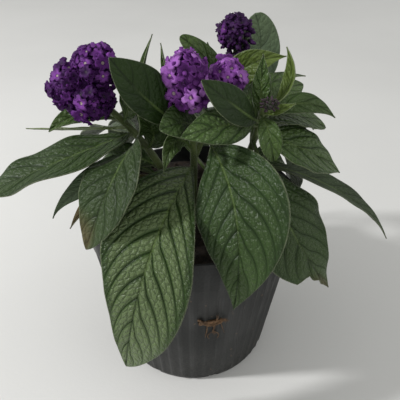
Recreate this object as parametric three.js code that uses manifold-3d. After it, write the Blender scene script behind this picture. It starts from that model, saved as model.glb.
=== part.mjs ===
// Potted heliotrope: a nursery pot of compost holding one plant with four shoots,
// quilted leaves and violet flower heads.
// Millimetres, +Z up, the front of the plant towards -Y, the pot's foot centred on the origin.

import * as THREE from 'three';
import Module from 'manifold-3d';

const wasm = await Module();
wasm.setup();

// Driving sizes of the pot
const POT_HEIGHT = 103;
const RIM_RADIUS = 60;
const FOOT_RADIUS = 44.5;
const WALL = 1.4;
const BAND_HEIGHT = 18;
const BAND_STEP = 1.3;
const BAND_TAPER = 1.2;
const FOOT_RECESS = 3;
const FOOT_RING = 3;
const FOOT_EDGE = 0.5;
const FOOT_PAD = 9;
const POT_RIBS = 24;
const RIB_DEPTH = 0.35;
const DRAIN_HOLES = 6;
const DRAIN_RADIUS = 3.5;
const DRAIN_CIRCLE = 31;
const DRAIN_SIDES = 8;
const FOOT_NOTCHES = 8;
const NOTCH_TURN = 0.35;
const NOTCH_WIDTH = 5;
const NOTCH_HEIGHT = 1.8;

// The slot in the front of the wall that the dry roots come out of
const SLOT_ANGLE = 10.5;
const SLOT_HEIGHT = 58;
const SLOT_WIDTH = 13;
const SLOT_TALL = 3;
const SLOT_CUT = 6;

// Compost
const SOIL_TOP = 93;
const SOIL_SIDES = 20;
const SOIL_RINGS = 3;
const SOIL_LUMPS = 1.6;
const LUMP_SINK = 0.3;

// Clearance between one body and the next
const GAP = 0.3;

// Shoots: centre line, thickness at the foot and at the top
const SHOOT_SIDES = 7;
const SHOOTS = {
  left: {
    line: [[1, -1, 72], [-2.5, -2, 82], [-9, -4, 108], [-18, -6, 128], [-29, -9, 147], [-44, -13, 166]],
    foot: 2.4,
    top: 1.6,
  },
  centre: {
    line: [[1, -1, 72], [1, -4, 82], [1, -8, 112], [1, -14, 142], [-1, -18, 162]],
    foot: 2.4,
    top: 1.6,
  },
  fork: {
    line: [[1, -12, 132], [8, -11, 149], [16, -11, 163]],
    foot: 1.6,
    top: 1.4,
  },
  back: {
    line: [[1, -1, 72], [4, 3, 82], [9, 10, 112], [16, 18, 142], [23, 25, 166]],
    foot: 2.4,
    top: 1.6,
  },
  right: {
    line: [[1, -1, 72], [6, -1, 82], [16, -3, 106], [28, -10, 132], [34, -19, 164]],
    foot: 2.4,
    top: 1.5,
  },
};

// Short branches from the top of a shoot into the lumps of its flower head
const BRANCH_START = 0.15;
const BRANCH_REACH = 0.9;
const BRANCH_FOOT = 0.9;
const BRANCH_RADIUS = 0.9;

// Colours, one for each kind of surface
const COLOURS = {
  pot: 0x3a3d40,
  soil: 0x17130f,
  stem: 0x5d6e35,
  leaf: 0x3f5a2c,
  underside: 0x7f9068,
  lime: 0x7d8f3c,
  dry: 0x6f6240,
  violet: 0x4f1d8c,
  purple: 0x6a2fae,
  plum: 0x5f28a2,
  darkViolet: 0x2c1249,
  calyx: 0x3d4a2c,
  darkBud: 0x3f2a38,
  root: 0x8a5a34,
};
const POT_ROUGHNESS = 0.5;
const LEAF_ROUGHNESS = 0.6;
const PLANT_ROUGHNESS = 0.8;
const SOIL_ROUGHNESS = 1;

// Leaves
const BLADE = 0.7;
const STALK_WIDTH = 1.6;
const STALK_THICKNESS = 1.5;
const STALK_FADE = 0.1;
const TIP_WIDTH = 1;
const VEIN_SWEEP = 0.1;
const SIDE_SHIFT = 1.9;
const HOOK_START = 0.8;
const LARGE = { rows: 8, columns: 2, relief: 0.45 };
const MIDDLE = { rows: 7, columns: 2, relief: 0.3 };
const SMALL = { rows: 6, columns: 1, relief: 0 };
const LEAF_FORM = {
  belly: 0.42,
  base: 0.9,
  taper: 1.15,
  fold: 12,
  wave: 0,
  waves: 2.5,
  phase: 0,
  hook: 0,
  stalk: 0.1,
  uneven: 0,
  skew: 0,
};

// Name, size, shoot and height on it, middle and tip of the midrib, width, way the upper face looks, form
const LEAVES = [
  ['leaf_left_long', LARGE, 'left', 146, [-59, -33, 144], [-104, -48, 129], 30, [0, 0, 1],
    { fold: 6, wave: 1.4, waves: 3, belly: 0.42, base: 0.65, taper: 0.85, stalk: 0.04, phase: 1.5 }],
  ['leaf_left_under', MIDDLE, 'left', 138, [-50, -33, 131], [-68, -36, 116], 12, [-0.7, 0.2, -0.6],
    { fold: 20, belly: 0.45, hook: -3 }],
  ['leaf_left_hanging', LARGE, 'left', 142, [-35, -50, 140.5], [-47.5, -58, 111.5], 28, [-0.45, -0.8, 0.4],
    { fold: 8, belly: 0.5, base: 0.6, taper: 0.75, skew: -0.1 }],
  ['leaf_front_big', LARGE, 'centre', 128, [-14.5, -60, 120.5], [-33, -71, 46], 43, [-0.2, -0.88, 0.4],
    { uneven: 0.02, skew: -0.55, fold: 4, belly: 0.5, base: 0.6, taper: 0.72, wave: 1.2, stalk: 0.02 }],
  ['leaf_front_mid', LARGE, 'fork', 146, [19.5, -49, 130.5], [20.5, -65, 80], 43.5, [-0.3, -0.86, 0.42],
    { uneven: -0.15, fold: 5, base: 0.8, taper: 1.1 }],
  ['leaf_right_dark', LARGE, 'right', 144, [44, -40, 119], [74, -36, 67], 40, [0.42, -0.8, 0.4],
    { fold: -4, belly: 0.45, wave: 2 }],
  ['leaf_right_broad', LARGE, 'right', 148, [52, -17, 142.5], [76, -14, 126], 29, [0.15, -0.3, 0.95],
    { fold: 6, belly: 0.48, base: 0.8, stalk: 0.06 }],
  ['leaf_right_long', MIDDLE, 'right', 130, [86, 4, 101], [122, 10, 65], 16, [0.4, -0.2, 0.9],
    { fold: 18, belly: 0.5, hook: -2 }],
  ['leaf_right_edge', MIDDLE, 'right', 151.5, [53, 0, 151], [70, 3, 143], 19, [0.1, -0.2, 0.95],
    { fold: 4, belly: 0.55, taper: 0.6 }],
  ['leaf_right_bright', MIDDLE, 'right', 156, [52, -10, 162], [72, -4, 152], 11, [0.2, -0.7, 0.7],
    { fold: 14, belly: 0.45 }],
  ['leaf_right_blade', SMALL, 'right', 161, [47, -10, 176], [44, -6, 188], 8, [-0.6, -0.6, 0.3],
    { fold: 35, belly: 0.5 }],
  ['leaf_right_back', MIDDLE, 'right', 154, [47, 2, 164], [57, 10, 164], 15, [0.1, -0.5, 0.8],
    { fold: 5, belly: 0.55, taper: 0.7 }],
  ['leaf_bud_up', MIDDLE, 'right', 157, [32.5, -16, 174.5], [32.5, -15, 187.5], 9, [-0.1, -0.9, 0.35], {}],
  ['leaf_bud_down', SMALL, 'right', 158.5, [35, -36, 158], [37.5, -38, 146], 10.5, [0, -0.85, 0.5],
    { belly: 0.62, taper: 0.5 }],
  ['leaf_bud_small', SMALL, 'right', 160, [43, -22, 165], [48, -22, 167], 5, [0, -0.8, 0.6], { fold: 20 }],
  ['leaf_back_fold', MIDDLE, 'back', 153, [32, 6, 177], [46, 8, 179], 16, [0.1, -0.9, 0.35],
    { fold: 14, hook: 2, belly: 0.45 }],
  ['leaf_back_round', MIDDLE, 'back', 149, [38, 41, 173], [34, 44, 191], 22, [0.1, -0.95, 0.1],
    { fold: 4, belly: 0.52, base: 0.95, taper: 0.4 }],
  ['leaf_centre_round', MIDDLE, 'right', 155, [16, -35, 174], [5, -38, 184], 15, [0.1, -0.8, 0.6],
    { fold: 4, belly: 0.52, taper: 0.8, base: 0.8 }],
  ['leaf_centre_quilt', MIDDLE, 'right', 153, [11, -36, 162], [-4, -42, 160], 18, [0.1, -0.65, 0.75],
    { fold: -4, belly: 0.5, taper: 0.9 }],
  ['leaf_left_shield', MIDDLE, 'centre', 150, [-21.2, -32.7, 176.5], [-32, -37, 193], 20, [0.1, -0.8, 0.55],
    { uneven: 0.22, fold: 2, belly: 0.58, taper: 0.8, base: 1 }],
  ['leaf_left_spike', SMALL, 'left', 134, [-22, 0, 178], [-18, 4, 191], 8, [-0.7, -0.5, 0.2],
    { fold: 50, belly: 0.45 }],
  ['leaf_centre_spike', SMALL, 'centre', 150, [-12, -2, 179], [-14, 0, 188], 7, [-0.7, -0.5, 0.2],
    { fold: 50, belly: 0.5 }],
  ['leaf_top_lime', SMALL, 'back', 145, [5, 2, 182], [-5, 2, 190.5], 12, [0, -0.7, 0.7],
    { fold: 8, belly: 0.62, taper: 0.45 }],
  ['leaf_top_small', SMALL, 'back', 160, [12, 11, 174], [8, 8, 186], 9, [0, -0.8, 0.4], { fold: 8 }],
  ['leaf_under_centre', SMALL, 'centre', 147, [-6, -34, 162.5], [-13, -39, 162], 18, [0, -0.75, 0.65],
    { fold: 4, belly: 0.55, taper: 0.7 }],
  ['leaf_under_left', SMALL, 'left', 136, [-19, -22, 156], [-24, -27, 165], 16, [0, -0.8, 0.6],
    { fold: 6, belly: 0.5 }],
  ['leaf_hang_lime', SMALL, 'centre', 138, [-9, -32, 150], [-12, -40, 141], 9, [0.3, -0.8, 0.4],
    { belly: 0.5 }],
  ['leaf_left_inner', SMALL, 'left', 152, [-28, -19, 166], [-25, -24, 180], 11, [-0.1, -0.75, 0.6],
    { fold: 8, belly: 0.5 }],
  ['leaf_left_edge', SMALL, 'left', 149.5, [-61, -3, 145], [-84, -4, 146], 10, [0, 0.4, 0.9],
    { fold: 10, belly: 0.4 }],
  ['leaf_left_curl', SMALL, 'left', 152.5, [-61, -8, 153], [-70, -12, 148], 11, [-0.3, -0.6, 0.6],
    { fold: 25, belly: 0.5, taper: 0.8 }],
  ['leaf_dry_scrap', SMALL, 'left', 120, [-54, -26, 112], [-61, -34, 105], 9, [-0.6, -0.6, 0.3],
    { fold: 25, belly: 0.6 }],
  ['leaf_rear_left_high', LARGE, 'left', 140, [-46, 18, 136], [-70, 34, 112], 24, [-0.1, 0.3, 0.95],
    { wave: 1 }],
  ['leaf_rear_left_low', LARGE, 'back', 112, [-30, 46, 128], [-52, 66, 78], 36, [-0.4, 0.7, 0.5],
    { wave: 1.5 }],
  ['leaf_rear_middle', LARGE, 'back', 125, [8, 58, 130], [2, 84, 66], 40, [0, 0.85, 0.45],
    { base: 0.6, wave: 1.5 }],
  ['leaf_rear_right_low', LARGE, 'back', 118, [48, 44, 124], [70, 62, 70], 36, [0.5, 0.7, 0.45],
    { wave: 1.5 }],
  ['leaf_rear_high', MIDDLE, 'back', 150, [10, 50, 164], [2, 70, 146], 22, [0, 0.5, 0.85], {}],
  ['leaf_rear_right_high', MIDDLE, 'back', 134, [44, 43, 150], [58, 58, 138], 18, [0.2, 0.4, 0.9], {}],
  ['leaf_rear_left_mid', MIDDLE, 'back', 135, [-14, 48, 150], [-34, 68, 128], 24, [-0.2, 0.5, 0.85], {}],
  ['leaf_rear_right_mid', MIDDLE, 'right', 140, [56, 22, 144], [73, 40, 124], 20, [0.3, 0.3, 0.9], {}],
  ['leaf_right_low', LARGE, 'right', 112, [46, 12, 118], [62, 28, 74], 26, [0.7, 0.3, 0.5], {}],
  ['leaf_mid_left', MIDDLE, 'left', 122, [-36, -6, 130], [-50, -8, 116], 18, [-0.5, -0.3, 0.8], {}],
  ['leaf_rear_top_left', MIDDLE, 'back', 140, [-3, 26, 165], [-16, 32, 164], 18, [-0.2, 0.1, 1], {}],
  ['leaf_rear_top_right', MIDDLE, 'right', 143, [44, 15, 164], [61, 25, 163], 16, [0.2, 0, 1], {}],
  ['leaf_left_low', LARGE, 'left', 112, [-46, 10, 120], [-62, 22, 76], 30, [-0.7, 0.3, 0.5], {}],
];

// Leaves that aren't the common dark green
const LEAF_COLOURS = {
  leaf_left_under: COLOURS.underside,
  leaf_under_centre: COLOURS.underside,
  leaf_under_left: COLOURS.underside,
  leaf_centre_round: COLOURS.underside,
  leaf_back_round: COLOURS.underside,
  leaf_right_bright: COLOURS.lime,
  leaf_right_blade: COLOURS.lime,
  leaf_bud_up: COLOURS.lime,
  leaf_bud_down: COLOURS.lime,
  leaf_bud_small: COLOURS.lime,
  leaf_top_lime: COLOURS.lime,
  leaf_hang_lime: COLOURS.lime,
  leaf_dry_scrap: COLOURS.dry,
};

// Flower heads: lumps of florets (centre and radius), the heart that joins them, how far the florets
// stand out, their radius, and how many places are tried round each lump
const FLORET_LOBES = 5;
const LOBE_CORNERS = [-0.24, 0.24, 0.5];
const FLORET_NOTCH = 0.62;
const FLORET_CUP = 0.5;
const FLORET_THROAT = 0.7;
const FLORET_THICK = 1.3;
const NECK_RADIUS = 1.1;
const FLORET_ROOT = 2;
const FLORET_TILT = 0.5;
const FLORET_UNEVEN = 1.6;
const FLORET_VARY = 0.2;
const CROWDING = 1.4;
const BURIED = 0.98;
const LOWEST_FLORET = -0.62;
const HEADS = [
  {
    name: 'florets_left',
    shoot: 'left',
    colour: COLOURS.violet,
    floret: 5.8,
    around: 15,
    stand: 4.5,
    heart: [-48, -17, 174, 8.5],
    lumps: [[-42.5, -15, 180.5, 10.5], [-53.5, -17, 173.5, 10.5], [-45.5, -20, 168, 10.5]],
  },
  {
    name: 'florets_centre_left',
    shoot: 'centre',
    colour: COLOURS.purple,
    floret: 5.8,
    around: 15,
    stand: 4.5,
    heart: [-1.5, -20, 176, 7],
    lumps: [[-2, -20, 180, 9.8], [-1, -21, 172.5, 9.6]],
  },
  {
    name: 'florets_centre_right',
    shoot: 'fork',
    colour: COLOURS.plum,
    floret: 5.2,
    around: 17,
    stand: 4.5,
    heart: [16.8, -11, 174.5, 5],
    lumps: [[16.8, -11, 174.5, 9]],
  },
  {
    name: 'florets_back',
    shoot: 'back',
    colour: COLOURS.darkViolet,
    floret: 4.8,
    around: 20,
    stand: 4,
    heart: [23, 24, 184, 6],
    lumps: [[23, 24, 185, 9.5]],
  },
];

// Tight groups of unopened buds: centre and radius of the core, buds tried round it, and their size
const BUDS = [
  {
    name: 'buds_back',
    colour: COLOURS.calyx,
    centre: [24, 24, 169],
    radius: 4.3,
    buds: 13,
    length: 5,
    width: 3.6,
    lowest: -0.8,
  },
  {
    name: 'buds_right',
    colour: COLOURS.darkBud,
    centre: [36, -23, 166.5],
    radius: 2.2,
    buds: 10,
    length: 2,
    width: 2.6,
    lowest: -0.6,
  },
];
const BUD_SIDES = 4;
const BUD_ROOT = 0.5;
const BUD_BELLY = 0.45;
const BUD_WIDTHS = [0.25, 0.5, 0.18];
const BUD_VARY = 0.4;

// The dry roots on the wall: points as sideways, up and outwards from the slot, then the radius at the foot
const ROOTS = [
  {
    points: [[-5.5, 2.5, 2.2], [-2.5, -0.6, 2.4], [0.5, -2, 2.4], [4, -1, 2.4], [7.5, 1.8, 2.2]],
    radius: 1.3,
  },
  { points: [[-4, 0.2, 2], [-0.5, 0.6, 2.2], [3, 1.4, 2], [6.5, 0.6, 2.2]], radius: 0.9 },
  { points: [[2.2, 0, 2], [3.4, 3.6, 2.4], [3, 7, 2.8]], radius: 0.8 },
  { points: [[0, -1.5, 2.4], [1.7, -6, 2], [0.6, -9.5, 2.2], [1.2, -13, 1.8]], radius: 0.9 },
  { points: [[-1.8, -1, 2.2], [-2.4, -6, 1.8], [-2.2, -12.5, 1.6]], radius: 0.6 },
  { points: [[5.2, -0.4, 2.2], [6.6, -5, 1.8], [9, -9, 1.8]], radius: 0.6 },
  { points: [[6.4, 1.2, 2.2], [8.6, 0.2, 2.8]], radius: 1.5 },
];
const ROOT_SIDES = 4;
const ROOT_TAPER = 0.35;
const PLUG_STAND = 2.4;

// A repeatable value from 0 to 1 for item number and use
function chance(item, use) {
  const value = Math.sin(item * 12.9898 + use * 78.233) * 43758.5453;
  return value - Math.floor(value);
}

function radians(degrees) {
  return (degrees * Math.PI) / 180;
}

function clamp01(value) {
  return Math.min(1, Math.max(0, value));
}

function smoothRise(from, to, value) {
  const part = clamp01((value - from) / (to - from));
  return part * part * (3 - 2 * part);
}

function vec(list) {
  return new THREE.Vector3(list[0], list[1], list[2]);
}

// A closed solid from corner points and triangles, turned to face outwards
function solidFrom(points, triangles) {
  const vertProperties = new Float32Array(points.length * 3);
  points.forEach((point, index) => vertProperties.set([point.x, point.y, point.z], index * 3));
  let volume = 0;
  for (const [a, b, c] of triangles) {
    volume += points[a].dot(new THREE.Vector3().crossVectors(points[b], points[c]));
  }
  const triVerts = new Uint32Array(triangles.length * 3);
  triangles.forEach(([a, b, c], index) => triVerts.set(volume > 0 ? [a, b, c] : [a, c, b], index * 3));
  return new wasm.Manifold(new wasm.Mesh({ numProp: 3, vertProperties, triVerts }));
}

// A closed solid from a three.js shape whose faces don't share their corners
function solidFromShape(shape) {
  const position = shape.getAttribute('position');
  const points = [];
  const seen = new Map();
  const shared = [];
  for (let index = 0; index < position.count; index += 1) {
    const point = new THREE.Vector3().fromBufferAttribute(position, index);
    const key = [point.x, point.y, point.z].map((value) => Math.round(value * 1e4)).join(' ');
    if (!seen.has(key)) {
      seen.set(key, points.length);
      points.push(point);
    }
    shared.push(seen.get(key));
  }
  const order = shape.index ? Array.from(shape.index.array) : shared.map((_, index) => index);
  const triangles = [];
  for (let index = 0; index < order.length; index += 3) {
    const triangle = [shared[order[index]], shared[order[index + 1]], shared[order[index + 2]]];
    if (new Set(triangle).size === 3) {
      triangles.push(triangle);
    }
  }
  return solidFrom(points, triangles);
}

function union(solids) {
  return solids.reduce((whole, solid) => whole.add(solid));
}

// The largest body of a solid, without the loose scraps that a cut leaves behind
function largestBody(solid) {
  return solid.decompose().sort((one, other) => other.volume() - one.volume())[0];
}

function meshFrom(name, solid, colour, roughness = PLANT_ROUGHNESS) {
  const { vertProperties, triVerts } = solid.getMesh();
  const shape = new THREE.BufferGeometry();
  shape.setAttribute('position', new THREE.BufferAttribute(new Float32Array(vertProperties), 3));
  shape.setIndex(new THREE.BufferAttribute(new Uint32Array(triVerts), 1));
  shape.computeVertexNormals();
  const looks = { color: colour, roughness, metalness: 0, flatShading: true };
  const mesh = new THREE.Mesh(shape, new THREE.MeshStandardMaterial(looks));
  mesh.name = name;
  return mesh;
}

// A round bar along a path, with its own radius at every point and flat ends
function taperedTube(path, radii, sides) {
  const points = [];
  const triangles = [];
  let across = null;
  path.forEach((centre, step) => {
    const before = path[Math.max(0, step - 1)];
    const after = path[Math.min(path.length - 1, step + 1)];
    const along = after.clone().sub(before).normalize();
    if (!across) {
      across = Math.abs(along.z) > 0.9 ? new THREE.Vector3(1, 0, 0) : new THREE.Vector3(0, 0, 1);
    }
    across = across.clone().addScaledVector(along, -across.dot(along)).normalize();
    const beside = new THREE.Vector3().crossVectors(along, across);
    for (let side = 0; side < sides; side += 1) {
      const turn = (side / sides) * Math.PI * 2;
      points.push(centre.clone()
        .addScaledVector(across, Math.cos(turn) * radii[step])
        .addScaledVector(beside, Math.sin(turn) * radii[step]));
    }
  });
  for (let step = 0; step < path.length - 1; step += 1) {
    for (let side = 0; side < sides; side += 1) {
      const next = (side + 1) % sides;
      const low = step * sides;
      const high = low + sides;
      triangles.push([low + side, low + next, high + next], [low + side, high + next, high + side]);
    }
  }
  const last = (path.length - 1) * sides;
  for (let side = 1; side < sides - 1; side += 1) {
    triangles.push([0, side + 1, side], [last, last + side, last + side + 1]);
  }
  return solidFrom(points, triangles);
}

// Radius of the pot's outer wall, below its rim band, at a height
function wallRadius(height) {
  const top = RIM_RADIUS - BAND_TAPER - BAND_STEP;
  return FOOT_RADIUS + ((top - FOOT_RADIUS) * height) / (POT_HEIGHT - BAND_HEIGHT);
}

// Radius inside the pot at a height under the rim band
function insideRadius(height) {
  return wallRadius(height) - WALL;
}

// A place on the pot's front wall: sideways, up and outwards from the middle of the slot
function wallPoint([sideways, up, out]) {
  const height = SLOT_HEIGHT + up;
  const radius = wallRadius(height) + out;
  const turn = radians(SLOT_ANGLE) + sideways / radius;
  return new THREE.Vector3(radius * Math.sin(turn), -radius * Math.cos(turn), height);
}

// A box that stands in the pot's wall at the slot
function slotBox(width, height, inner, outer) {
  const shape = new THREE.BoxGeometry(width, outer - inner, height);
  shape.translate(0, -(inner + outer) / 2, 0);
  shape.rotateZ(radians(SLOT_ANGLE));
  shape.translate(0, 0, SLOT_HEIGHT);
  return solidFromShape(shape);
}

function potSolid() {
  const bandFoot = POT_HEIGHT - BAND_HEIGHT;
  const bandRadius = RIM_RADIUS - BAND_TAPER;
  const floor = FOOT_RECESS + WALL;
  const profile = [
    [0, 0],
    [FOOT_PAD, 0],
    [FOOT_PAD + FOOT_EDGE, FOOT_RECESS],
    [FOOT_RADIUS - FOOT_RING - FOOT_EDGE, FOOT_RECESS],
    [FOOT_RADIUS - FOOT_RING, 0],
    [FOOT_RADIUS - FOOT_EDGE, 0],
    [wallRadius(WALL), WALL],
    [wallRadius(bandFoot - WALL), bandFoot - WALL],
    [bandRadius, bandFoot],
    [RIM_RADIUS, POT_HEIGHT],
    [RIM_RADIUS - WALL, POT_HEIGHT],
    [bandRadius - WALL, bandFoot + WALL],
    [wallRadius(bandFoot) - WALL, bandFoot - WALL],
    [insideRadius(floor), floor],
    [FOOT_PAD - WALL + FOOT_EDGE, floor],
    [FOOT_PAD - WALL, WALL],
    [0, WALL],
  ].map(([radius, height]) => new THREE.Vector2(radius, height));
  const segments = POT_RIBS * 2;
  const shape = new THREE.LatheGeometry(profile, segments);
  shape.rotateX(Math.PI / 2);
  raiseRibs(shape, segments, bandFoot);
  let pot = solidFromShape(shape);
  for (let hole = 0; hole < DRAIN_HOLES; hole += 1) {
    pot = pot.subtract(drainHole((hole / DRAIN_HOLES) * Math.PI * 2));
  }
  for (let notch = 0; notch < FOOT_NOTCHES; notch += 1) {
    pot = pot.subtract(footNotch(((notch + NOTCH_TURN) / FOOT_NOTCHES) * Math.PI * 2));
  }
  const wall = wallRadius(SLOT_HEIGHT);
  return pot.subtract(slotBox(SLOT_WIDTH, SLOT_TALL, wall - SLOT_CUT, wall + SLOT_CUT));
}

// Every other line of the outer wall stands out a little, which makes the ribs
function raiseRibs(shape, segments, bandFoot) {
  const position = shape.getAttribute('position');
  for (let index = 0; index < position.count; index += 1) {
    const x = position.getX(index);
    const y = position.getY(index);
    const height = position.getZ(index);
    const radius = Math.hypot(x, y);
    const between = height > FOOT_EDGE && height < bandFoot - FOOT_EDGE;
    const onWall = between && Math.abs(radius - wallRadius(height)) < RIB_DEPTH / 2;
    const line = Math.round((Math.atan2(y, x) / (Math.PI * 2)) * segments);
    if (onWall && line % 2 === 0) {
      position.setX(index, (x * (radius + RIB_DEPTH)) / radius);
      position.setY(index, (y * (radius + RIB_DEPTH)) / radius);
    }
  }
}

function drainHole(turn) {
  const shape = new THREE.CylinderGeometry(DRAIN_RADIUS, DRAIN_RADIUS, FOOT_RECESS * 4, DRAIN_SIDES);
  shape.rotateX(Math.PI / 2);
  shape.translate(DRAIN_CIRCLE * Math.cos(turn), DRAIN_CIRCLE * Math.sin(turn), FOOT_RECESS);
  return solidFromShape(shape);
}

function footNotch(turn) {
  const shape = new THREE.BoxGeometry(FOOT_RING * 4, NOTCH_WIDTH, NOTCH_HEIGHT * 2);
  shape.translate(FOOT_RADIUS - FOOT_RING / 2, 0, 0);
  shape.rotateZ(turn);
  return solidFromShape(shape);
}

// Compost that fills the pot, its top lumpy, kept clear of the wall and the floor
function soilSolid() {
  const floor = FOOT_RECESS + WALL + GAP;
  const points = [new THREE.Vector3(0, 0, floor)];
  const triangles = [];
  const bandFoot = POT_HEIGHT - BAND_HEIGHT;
  const insideTop = RIM_RADIUS - BAND_TAPER - WALL - GAP * 2;
  const rings = [
    { radius: insideRadius(floor) - GAP * 2, height: floor },
    { radius: insideRadius(bandFoot - WALL * 2) - GAP * 2, height: bandFoot - WALL * 2 },
    { radius: insideTop, height: bandFoot + WALL * 2 },
    { radius: insideTop, height: SOIL_TOP },
  ];
  for (let ring = 1; ring < SOIL_RINGS; ring += 1) {
    rings.push({ radius: insideTop * (1 - ring / SOIL_RINGS), height: SOIL_TOP, lumpy: true });
  }
  rings.forEach(({ radius, height, lumpy }, ring) => {
    for (let side = 0; side < SOIL_SIDES; side += 1) {
      const turn = ((side + (lumpy ? ring / 2 : 0)) / SOIL_SIDES) * Math.PI * 2;
      const lump = lumpy ? (chance(side, ring) - LUMP_SINK) * SOIL_LUMPS : 0;
      points.push(new THREE.Vector3(radius * Math.cos(turn), radius * Math.sin(turn), height + lump));
    }
  });
  const top = points.length;
  points.push(new THREE.Vector3(0, 0, SOIL_TOP + SOIL_LUMPS / 2));
  for (let side = 0; side < SOIL_SIDES; side += 1) {
    const next = (side + 1) % SOIL_SIDES;
    triangles.push([0, 1 + next, 1 + side]);
    for (let ring = 0; ring < rings.length - 1; ring += 1) {
      const low = 1 + ring * SOIL_SIDES;
      const high = low + SOIL_SIDES;
      triangles.push([low + side, low + next, high + next], [low + side, high + next, high + side]);
    }
    const last = 1 + (rings.length - 1) * SOIL_SIDES;
    triangles.push([last + side, last + next, top]);
  }
  return solidFrom(points, triangles);
}

// The place on a shoot's centre line at a height
function shootPoint(name, height) {
  const line = SHOOTS[name].line;
  const step = line.findIndex((point, index) => index > 0 && point[2] >= height);
  const upper = line[step === -1 ? line.length - 1 : step];
  const lower = line[step === -1 ? line.length - 2 : step - 1];
  const part = (height - lower[2]) / (upper[2] - lower[2]);
  return vec(lower).lerp(vec(upper), part);
}

function shootSolid({ line, foot, top }, extra) {
  const radii = line.map((_, index) => foot + ((top - foot) * index) / (line.length - 1) + extra);
  return taperedTube(line.map(vec), radii, SHOOT_SIDES);
}

// Short branches from the top of a shoot into the lumps of its flower head
function branchSolids({ shoot, lumps }, extra) {
  const line = SHOOTS[shoot].line;
  const start = vec(line[line.length - 1]).lerp(vec(line[line.length - 2]), BRANCH_START);
  const radii = [SHOOTS[shoot].top * BRANCH_FOOT + extra, BRANCH_RADIUS + extra];
  return lumps.map(([x, y, z]) => {
    const end = start.clone().lerp(new THREE.Vector3(x, y, z), BRANCH_REACH);
    return taperedTube([start, end], radii, SHOOT_SIDES);
  });
}

// All shoots and branches as one grown body, or the space it needs with some extra all round
function stemsSolid(extra = 0) {
  const shoots = Object.values(SHOOTS).map((shoot) => shootSolid(shoot, extra));
  const branches = HEADS.flatMap((head) => branchSolids(head, extra));
  return union([...shoots, ...branches]);
}

// Half the width of a leaf at a place along it, as a part of its full half width
function leafOutline(along, form) {
  const part = clamp01((along - form.stalk) / (1 - form.stalk));
  if (part < form.belly) {
    return Math.sin((Math.PI / 2) * (part / form.belly)) ** form.base;
  }
  return Math.cos((Math.PI / 2) * ((part - form.belly) / (1 - form.belly))) ** form.taper;
}

// The midrib of a leaf, through its root, middle and tip
function midrib(root, middle, tip) {
  const toMiddle = middle.distanceTo(root);
  const share = toMiddle / (toMiddle + tip.distanceTo(middle));
  const pull = middle.clone()
    .addScaledVector(root, -((1 - share) ** 2))
    .addScaledVector(tip, -(share ** 2))
    .divideScalar(2 * share * (1 - share));
  return new THREE.QuadraticBezierCurve3(root, pull, tip);
}

// Where a point of a leaf is: along from root to tip, across from edge to edge, and the upper way there
function leafPoint(leaf, along, across) {
  const { curve, face, width, form } = leaf;
  const swept = along + VEIN_SWEEP * Math.abs(across) * Math.sin(Math.PI * along);
  const direction = curve.getTangent(swept);
  const upper = face.clone().addScaledVector(direction, -face.dot(direction)).normalize();
  const beside = new THREE.Vector3().crossVectors(direction, upper);
  const outline = (width / 2) * leafOutline(swept, form);
  const least = (STALK_WIDTH + (TIP_WIDTH - STALK_WIDTH) * swept) / 2;
  const part = clamp01((swept - form.stalk) / (1 - form.stalk));
  const fuller = (form.uneven + form.skew * (2 * part - 1)) * Math.sign(across);
  const half = Math.max(outline * (1 + fuller), least);
  const phase = form.phase + (across < 0 ? SIDE_SHIFT : 0);
  const edgeWave = Math.sin(2 * Math.PI * form.waves * swept + phase);
  const lift = half * Math.abs(across) * Math.sin(radians(form.fold))
    + form.wave * edgeWave * across * across * Math.sin(Math.PI * part)
    + form.hook * clamp01((swept - HOOK_START) / (1 - HOOK_START)) ** 2;
  const point = curve.getPoint(swept)
    .addScaledVector(beside, half * across * Math.cos(radians(form.fold)))
    .addScaledVector(upper, lift);
  return { point, upper, part };
}

// A leaf as a closed blade: an upper and a lower sheet split alike, with its rim, root and tip closed
function leafSolid(leaf) {
  const { rows, columns, relief } = leaf.size;
  const points = [];
  const triangles = [];
  const wide = columns * 2 + 1;
  for (let row = 0; row <= rows; row += 1) {
    const along = row / rows;
    const fade = smoothRise(0, leaf.form.stalk + STALK_FADE, along);
    const thick = STALK_THICKNESS + (BLADE - STALK_THICKNESS) * fade;
    for (let column = 0; column < wide; column += 1) {
      const across = column / columns - 1;
      const { point, upper, part } = leafPoint(leaf, along, across);
      const quilted = column !== columns && column > 0 && column < wide - 1;
      const bulge = quilted ? relief * (row % 2 === 0 ? 1 : -1) * Math.sin(Math.PI * part) : 0;
      points.push(point.clone().addScaledVector(upper, bulge + thick / 2));
      points.push(point.clone().addScaledVector(upper, bulge - thick / 2));
    }
  }
  const at = (row, column, side) => (row * wide + column) * 2 + side;
  const closeWith = (corners, reversed) => {
    const [a, b, c, d] = reversed ? corners.slice().reverse() : corners;
    triangles.push([a, b, c], [a, c, d]);
  };
  for (let row = 0; row < rows; row += 1) {
    for (let column = 0; column < wide - 1; column += 1) {
      const mirrored = column >= columns;
      for (const side of [0, 1]) {
        const near = at(row, column, side);
        const nearNext = at(row, column + 1, side);
        const far = at(row + 1, column, side);
        const farNext = at(row + 1, column + 1, side);
        const split = mirrored
          ? [[near, nearNext, far], [nearNext, farNext, far]]
          : [[near, nearNext, farNext], [near, farNext, far]];
        split.forEach(([a, b, c]) => triangles.push(side === 0 ? [a, b, c] : [a, c, b]));
      }
    }
    for (const column of [0, wide - 1]) {
      const near = [at(row, column, 0), at(row + 1, column, 0)];
      const far = [at(row + 1, column, 1), at(row, column, 1)];
      closeWith([...near, ...far], column > 0);
    }
  }
  for (const row of [0, rows]) {
    for (let column = 0; column < wide - 1; column += 1) {
      const near = [at(row, column, 0), at(row, column + 1, 0)];
      const far = [at(row, column + 1, 1), at(row, column, 1)];
      closeWith([...near, ...far], row === 0);
    }
  }
  return solidFrom(points, triangles);
}

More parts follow.
